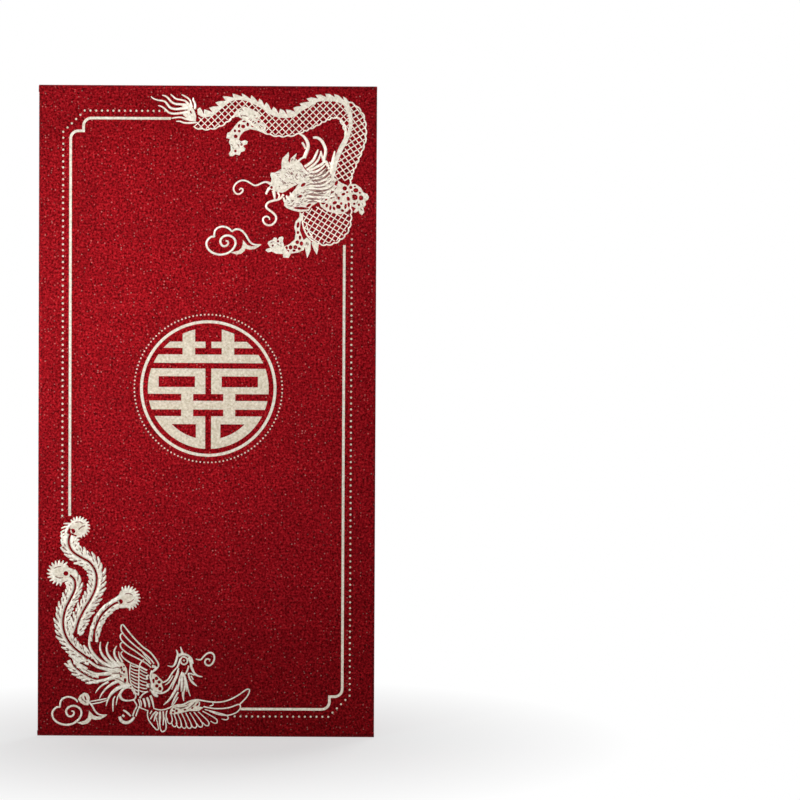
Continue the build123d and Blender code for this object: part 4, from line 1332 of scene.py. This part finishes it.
# A feather's loop: each point's place beside the feather, its distance back from the tip, and its width
FEATHER_LOOP_PX = [(2.5, 5, 1.25), (1.75, 1, 1.3), (0, 0, 1.3), (-2.0, 1.6, 1.2), (-2.5, 6, 1.0)]
FEATHER_ROOT_PX = 1.2
FEATHER_LINE_PX = 1.0
SHOULDER_PX = [
    (170, 711), (173, 706), (178, 704.5), (186, 705.5), (191, 702), (197, 700), (198.5, 702), (195, 706),
    (203, 708), (198, 711.5), (189, 711.5), (181, 713.5), (174, 715), (169.5, 714.5),
]
SHOULDER_HOLES_PX = [
    (173.8, 709.8, .7, .6), (176.4, 711.4, .9, 1), (180.6, 708.6, 1.1, .5, -10), (173, 713, .7, .8),
    (184.6, 710.2, 1, .5, -10), (192, 708.4, .9, .5, -30),
]
PHOENIX_LINES_PX = [
    [(76, 523, .9), (80, 522, 1.3), (84, 524, .9)], [(79, 530, .9), (82.5, 527, 1.3), (86, 526, .9)],
    [(55, 569, .9), (58, 567.5, 1.3), (62, 567, .9)], [(56, 577, .9), (60, 578.5, 1.3), (64, 578, .9)],
    [(125, 594.5, .9), (129, 593.6, 1.3), (133, 595.5, .9)],
    [(127, 603, .9), (131, 602, 1.3), (134, 599.5, .9)], [(113, 669, .9), (118, 668, 1.3), (123, 670, .9)],
    [(112, 674, .9), (118, 674, 1.3), (125, 676, .9)], [(116, 679, .9), (120, 680.5, 1.3), (126, 684, .9)],
    [(98, 663, .9), (105, 666.6, 1.3), (112, 669, .9)], [(176, 708, .9), (182, 708.4, 1.3), (188, 706, .9)],
    [(188, 709, .9), (192, 706, 1.3), (195, 702.6, .9)],
    [(183, 677, .9), (183.4, 684, 1.3), (182.6, 692, .9)],
    [(149, 684, .9), (150, 688, 1.3), (153, 691, .9)], [(82, 698, .9), (83.5, 701, 1.3), (87, 703.6, .9)],
    [(158, 716, .9), (158, 720, 1.2)],
]
TUFT_PX = [
    [(148, 711, 1.5), (147.5, 716, 1.6), (149, 721, 1.6), (152.5, 726, 1.6), (156.5, 730.5, 1.6),
     (158.5, 729.5, 1.4), (157.5, 724, 1.4), (156, 718, 1.3)],
    [(160, 722, 1.4), (160, 728, 1.6), (162, 732.5, 1.6), (165.5, 730.5, 1.6), (166, 725, 1.6),
     (164.5, 718, 1.5)],
    [(156.5, 712, 2), (153, 715.5, 2.2), (150.5, 720, 1.4)],
    [(158, 713, 2.4), (155.5, 717, 2.2), (154, 722, 1.2)],
    [(160, 712, 2.4), (160, 718, 3), (159.5, 725, 1.4)], [(163, 712, 2), (163.5, 718, 2), (163, 726, 1.2)],
    [(167, 711, 1.6), (166, 716, 1.6), (167, 722, 1.2)], [(152, 711.5, 1.4), (150, 714.5, 1.6)],
]


def shaft_frame(shaft):
    """A plume's shaft as a band whose half width is one pixel, so that a share of it is in pixels."""
    return band_frame([(*point, 2.0) for point in flow(shaft, SHAFT_GAP_PX)])


def plume_barbs(shaft, left, right, smooth):
    """Two smooth vanes beside a plume's bare shaft, each with barbs that sweep towards its head."""
    rows = shaft_frame(shaft)
    total = rows[-1][0]
    strokes = []
    for sign, span in ((1, left), (-1, right)):
        vane = smooth * span
        strokes.append([(*on_band(rows, row[0], sign * (SHAFT_PX + vane / 2)),
                         vane * min(1.0, VANE_LEAST + (total - row[0]) / VANE_GROWTH_PX))
                        for row in rows[::VANE_STEP]])
        for index in range(1, int(total / BARB_PX) + 1):
            along = index * BARB_PX
            grown = min(1.0, BARB_LEAST + (total - along) / BARB_GROWTH_PX)
            tip = span * grown * (1 + BARB_SWAY * sin(index * BARB_SWAY_TURN))
            outs = (vane * BARB_ROOT, vane / 2 + (tip - vane / 2) * BARB_MIDDLE, tip)
            shares = [sign * (SHAFT_PX + out) for out in outs]
            strokes.append(band_stroke(rows, along, zip(BARB_SHIFTS_PX, shares, BARB_WIDTHS_PX)))
    return strokes


def plume_specks(shaft, left, right):
    """Short dull marks along the vanes of a plume."""
    rows = shaft_frame(shaft)
    marks = []
    for index in range(2, int(rows[-1][0] / BARB_PX)):
        for sign, span in ((1, left), (-1, right)):
            along = (index + SPECK_SHIFT * sin(index * SPECK_SHIFT_TURN + sign)) * BARB_PX
            out = sign * span * (SPECK_OUT + SPECK_SWAY * sin(index * SPECK_SWAY_TURN))
            points = [(shift, out * share, width) for shift, share, width in SPECK_POINTS_PX]
            marks.append(band_stroke(rows, along, points))
    return marks


def wrap_barbs(stroke):
    """Short barbs that sweep back along the outer side of a plume's curl."""
    rows = band_frame(flow(stroke))
    return [band_stroke(rows, WRAP_BARB_PX * index, WRAP_BARB_POINTS_PX)
            for index in range(1, int(rows[-1][0] / WRAP_BARB_PX))]


def plume_head(x, y, radius, start, end, eye_x, eye_y):
    """A plume's round end: a fan of teeth, and a disc with an open eye."""
    teeth = []
    for index in range(TEETH):
        turn = radians(start + (end - start) * index / (TEETH - 1))
        teeth.append([(x + cos(turn + lean) * radius * share, y + sin(turn + lean) * radius * share, width)
                      for share, lean, width in TOOTH_POINTS])
    disc = oval(x, y, radius * HEAD_DISC[0], radius * HEAD_DISC[1])
    return teeth, [disc, oval(eye_x, eye_y, EYE_PX, EYE_PX)]


def rungs(left_start, left_end, right_start, right_end, count):
    """Sagging rungs between two rails."""
    strokes = []
    for index in range(count):
        share = (index + 0.5) / count
        left = [start + (end - start) * share for start, end in zip(left_start, left_end)]
        right = [start + (end - start) * share for start, end in zip(right_start, right_end)]
        middle = ((left[0] + right[0]) / 2, (left[1] + right[1]) / 2 + RUNG_SAG_PX)
        strokes.append([(*left, RUNG_END_PX), (*middle, RUNG_MIDDLE_PX), (*right, RUNG_END_PX)])
    return strokes


def lower_feather(root, tip):
    """A slim feather drawn as a loop with a round tip."""
    run = hypot(tip[0] - root[0], tip[1] - root[1])
    way = ((tip[0] - root[0]) / run, (tip[1] - root[1]) / run)
    side = (way[1], -way[0])
    loop = [(root[0] + side[0] * FEATHER_ROOT_PX, root[1] + side[1] * FEATHER_ROOT_PX, FEATHER_LINE_PX)]
    for beside, back, width in FEATHER_LOOP_PX:
        loop.append((*[tip[axis] + side[axis] * beside - way[axis] * back for axis in (0, 1)], width))
    return loop


def thinned(strokes, share):
    """Strokes with a share of their widths."""
    return [[(across, down, width * share) for across, down, width in stroke] for stroke in strokes]


def phoenix_foil():
    """The phoenix across the lower left corner."""
    strokes = [*STREAMERS_PX, *PLUME_WRAPS_PX, *LEGS_PX]
    strokes += thinned(RAISED_WING_PX, RAISED_WING_THIN) + thinned(BREAST_PX, BREAST_THIN) + HEAD_PX
    strokes += thinned(LOWER_WING_PX + TUFT_PX, LOWER_WING_THIN)
    patches = [holed(RUMP_PX, RUMP_HOLES_PX), holed(CURLED_FOOT_PX, CURLED_FOOT_HOLES_PX),
               holed(SHOULDER_PX, SHOULDER_HOLES_PX), holed(CHAIN_PX, CHAIN_HOLES_PX)]
    lines = list(PHOENIX_LINES_PX)
    for shaft, left, right, smooth in PLUMES_PX:
        strokes += plume_barbs(shaft, left, right, smooth)
        lines += plume_specks(shaft, left, right)
    strokes += wrap_barbs(PLUME_WRAPS_PX[0])
    for head in PLUME_HEADS_PX:
        teeth, patch = plume_head(*head)
        strokes += teeth
        patches.append(patch)
    for ladder in LADDERS_PX:
        strokes += rungs(*ladder)
    strokes += [lower_feather(root, tip) for root, tip in LOWER_FEATHERS_PX]
    foil_piece("phoenix_foil", strokes, patches, lines)


# The studio: the lens is in millimetres, and the camera's rise and roll are in degrees
CAMERA_LENS = 104.79
CAMERA_AWAY = 0.6
CAMERA_ACROSS = 49.78 * MM
CAMERA_HEIGHT = 87.31 * MM
CAMERA_RISE = 1.0
CAMERA_ROLL = 0.3
WHITE = "#ffffff"
WORLD_LIGHT = 0.2
FLOOR_WHITE = "#f4f4f4"
FLOOR_RADIUS = 1.2
FLOOR_SIDES = 64
# The floor turns from paper into plain white between two distances from the envelope, from a first share on
FLOOR_FADE_START, FLOOR_FADE_END, FLOOR_FADE_LEAST = 0.03, 0.11, 0.6
# Lamps: where each stands, the point that it is turned to, its size, its power, and its spread in degrees
LAMPS = {
    "key": ((-0.45, -0.55, 0.3), (-0.046, 0, 0.113), 0.13, 0.064, 11),
    "fill": ((-0.5, -0.8, 0.25), (-0.1, 0, 0.1), 0.5, 0.05, 180),
    "side_key": ((0.45, -0.55, 0.34), (0.068, 0, 0.172), 0.11, 0.013, 8),
    "low_key": ((-0.45, -0.5, 0.12), (-0.066, 0, 0.034), 0.07, 0.0016, 5),
    "back_key": ((0.4, 0.8, 0.4), (0, 0, 0.09), 0.4, 3.4, 180),
}


def camera():
    """A lens before the front, a little above its middle, with the envelope in the picture's left half."""
    data = bpy.data.cameras.new("camera")
    data.lens = CAMERA_LENS
    holder = bpy.data.objects.new("camera", data)
    rise = radians(CAMERA_RISE)
    back = Vector((0, -cos(rise), sin(rise)))
    place = Vector((CAMERA_ACROSS, FRONT_FACE, CAMERA_HEIGHT)) + back * CAMERA_AWAY
    turn = Matrix.Rotation(pi / 2 - rise, 4, "X") @ Matrix.Rotation(radians(CAMERA_ROLL), 4, "Z")
    holder.matrix_world = Matrix.Translation(place) @ turn
    bpy.context.scene.collection.objects.link(holder)
    bpy.context.scene.camera = holder


def soft_lamp(name, place, aim, size, power, spread):
    """A square soft lamp turned to a point; a narrow spread keeps its light in a pool."""
    data = bpy.data.lights.new(name, "AREA")
    data.size = size
    data.energy = power
    data.spread = radians(spread)
    holder = bpy.data.objects.new(name, data)
    holder.location = place
    holder.rotation_euler = (Vector(aim) - Vector(place)).to_track_quat("-Z", "Y").to_euler()
    bpy.context.scene.collection.objects.link(holder)


def world():
    """White to the camera and in reflections, and a softer white as light."""
    scene_world = bpy.data.worlds.new("studio")
    scene_world.use_nodes = True
    tree = scene_world.node_tree
    tree.nodes.clear()
    path = add(tree, "LightPath")
    seen = add(tree, "Math", {"operation": "ADD"}, {
        0: path.outputs["Is Camera Ray"], 1: path.outputs["Is Glossy Ray"]})
    seen = add(tree, "Math", {"operation": "ADD", "use_clamp": True}, {
        0: seen.outputs["Value"], 1: path.outputs["Is Transmission Ray"]})
    strength = add(tree, "MapRange", None, {"Value": seen.outputs["Value"], "To Min": WORLD_LIGHT})
    backdrop = add(tree, "Background", None, {"Color": linear(WHITE), "Strength": strength.outputs["Result"]})
    add(tree, "OutputWorld", None, {"Surface": backdrop.outputs["Background"]})
    bpy.context.scene.world = scene_world


def paper_floor():
    """White paper that fades into the white round it and keeps the envelope's shadow."""
    material, tree, place = new_material("white_paper_floor")
    away = add(tree, "VectorMath", {"operation": "LENGTH"}, {0: place})
    fade = add(tree, "MapRange", None, {
        "Value": away.outputs["Value"], "From Min": FLOOR_FADE_START, "From Max": FLOOR_FADE_END,
        "To Min": FLOOR_FADE_LEAST})
    path = add(tree, "LightPath")
    seen = add(tree, "Math", {"operation": "MULTIPLY"}, {
        0: fade.outputs["Result"], 1: path.outputs["Is Camera Ray"]})
    for ray in ("Is Glossy Ray", "Is Transmission Ray"):
        seen = add(tree, "Math", {"operation": "MAXIMUM"}, {0: seen.outputs["Value"], 1: path.outputs[ray]})
    lit = add(tree, "BsdfDiffuse", None, {"Color": linear(FLOOR_WHITE)})
    glow = add(tree, "Emission", None, {"Color": linear(WHITE), "Strength": 1.0})
    shader = add(tree, "MixShader", None, {
        0: seen.outputs["Value"], 1: lit.outputs["BSDF"], 2: glow.outputs["Emission"]})
    add(tree, "OutputMaterial", None, {"Surface": shader.outputs["Shader"]})
    return material


def floor():
    """A wide round floor under the envelope."""
    bm = bmesh.new()
    bmesh.ops.create_circle(bm, cap_ends=True, segments=FLOOR_SIDES, radius=FLOOR_RADIUS)
    new_object(bm, "floor", [paper_floor()])


pocket_sheet()
bottom_flap_sheet()
closing_flap_sheet()
lock_tab_sheet()
emblem_foil()
dragon_foil()
phoenix_foil()
cloud_foil("upper_cloud_foil", CLOUD_PX + CLOUD_TOP_PX, (0, 0))
cloud_foil("lower_cloud_foil", CLOUD_PX + CLOUD_TOP_PX[1:], LOWER_CLOUD_SHIFT_PX)
dress_frame()
camera()
world()
floor()
for lamp, setting in LAMPS.items():
    soft_lamp(lamp, *setting)
bpy.context.scene.view_settings.view_transform = "Standard"
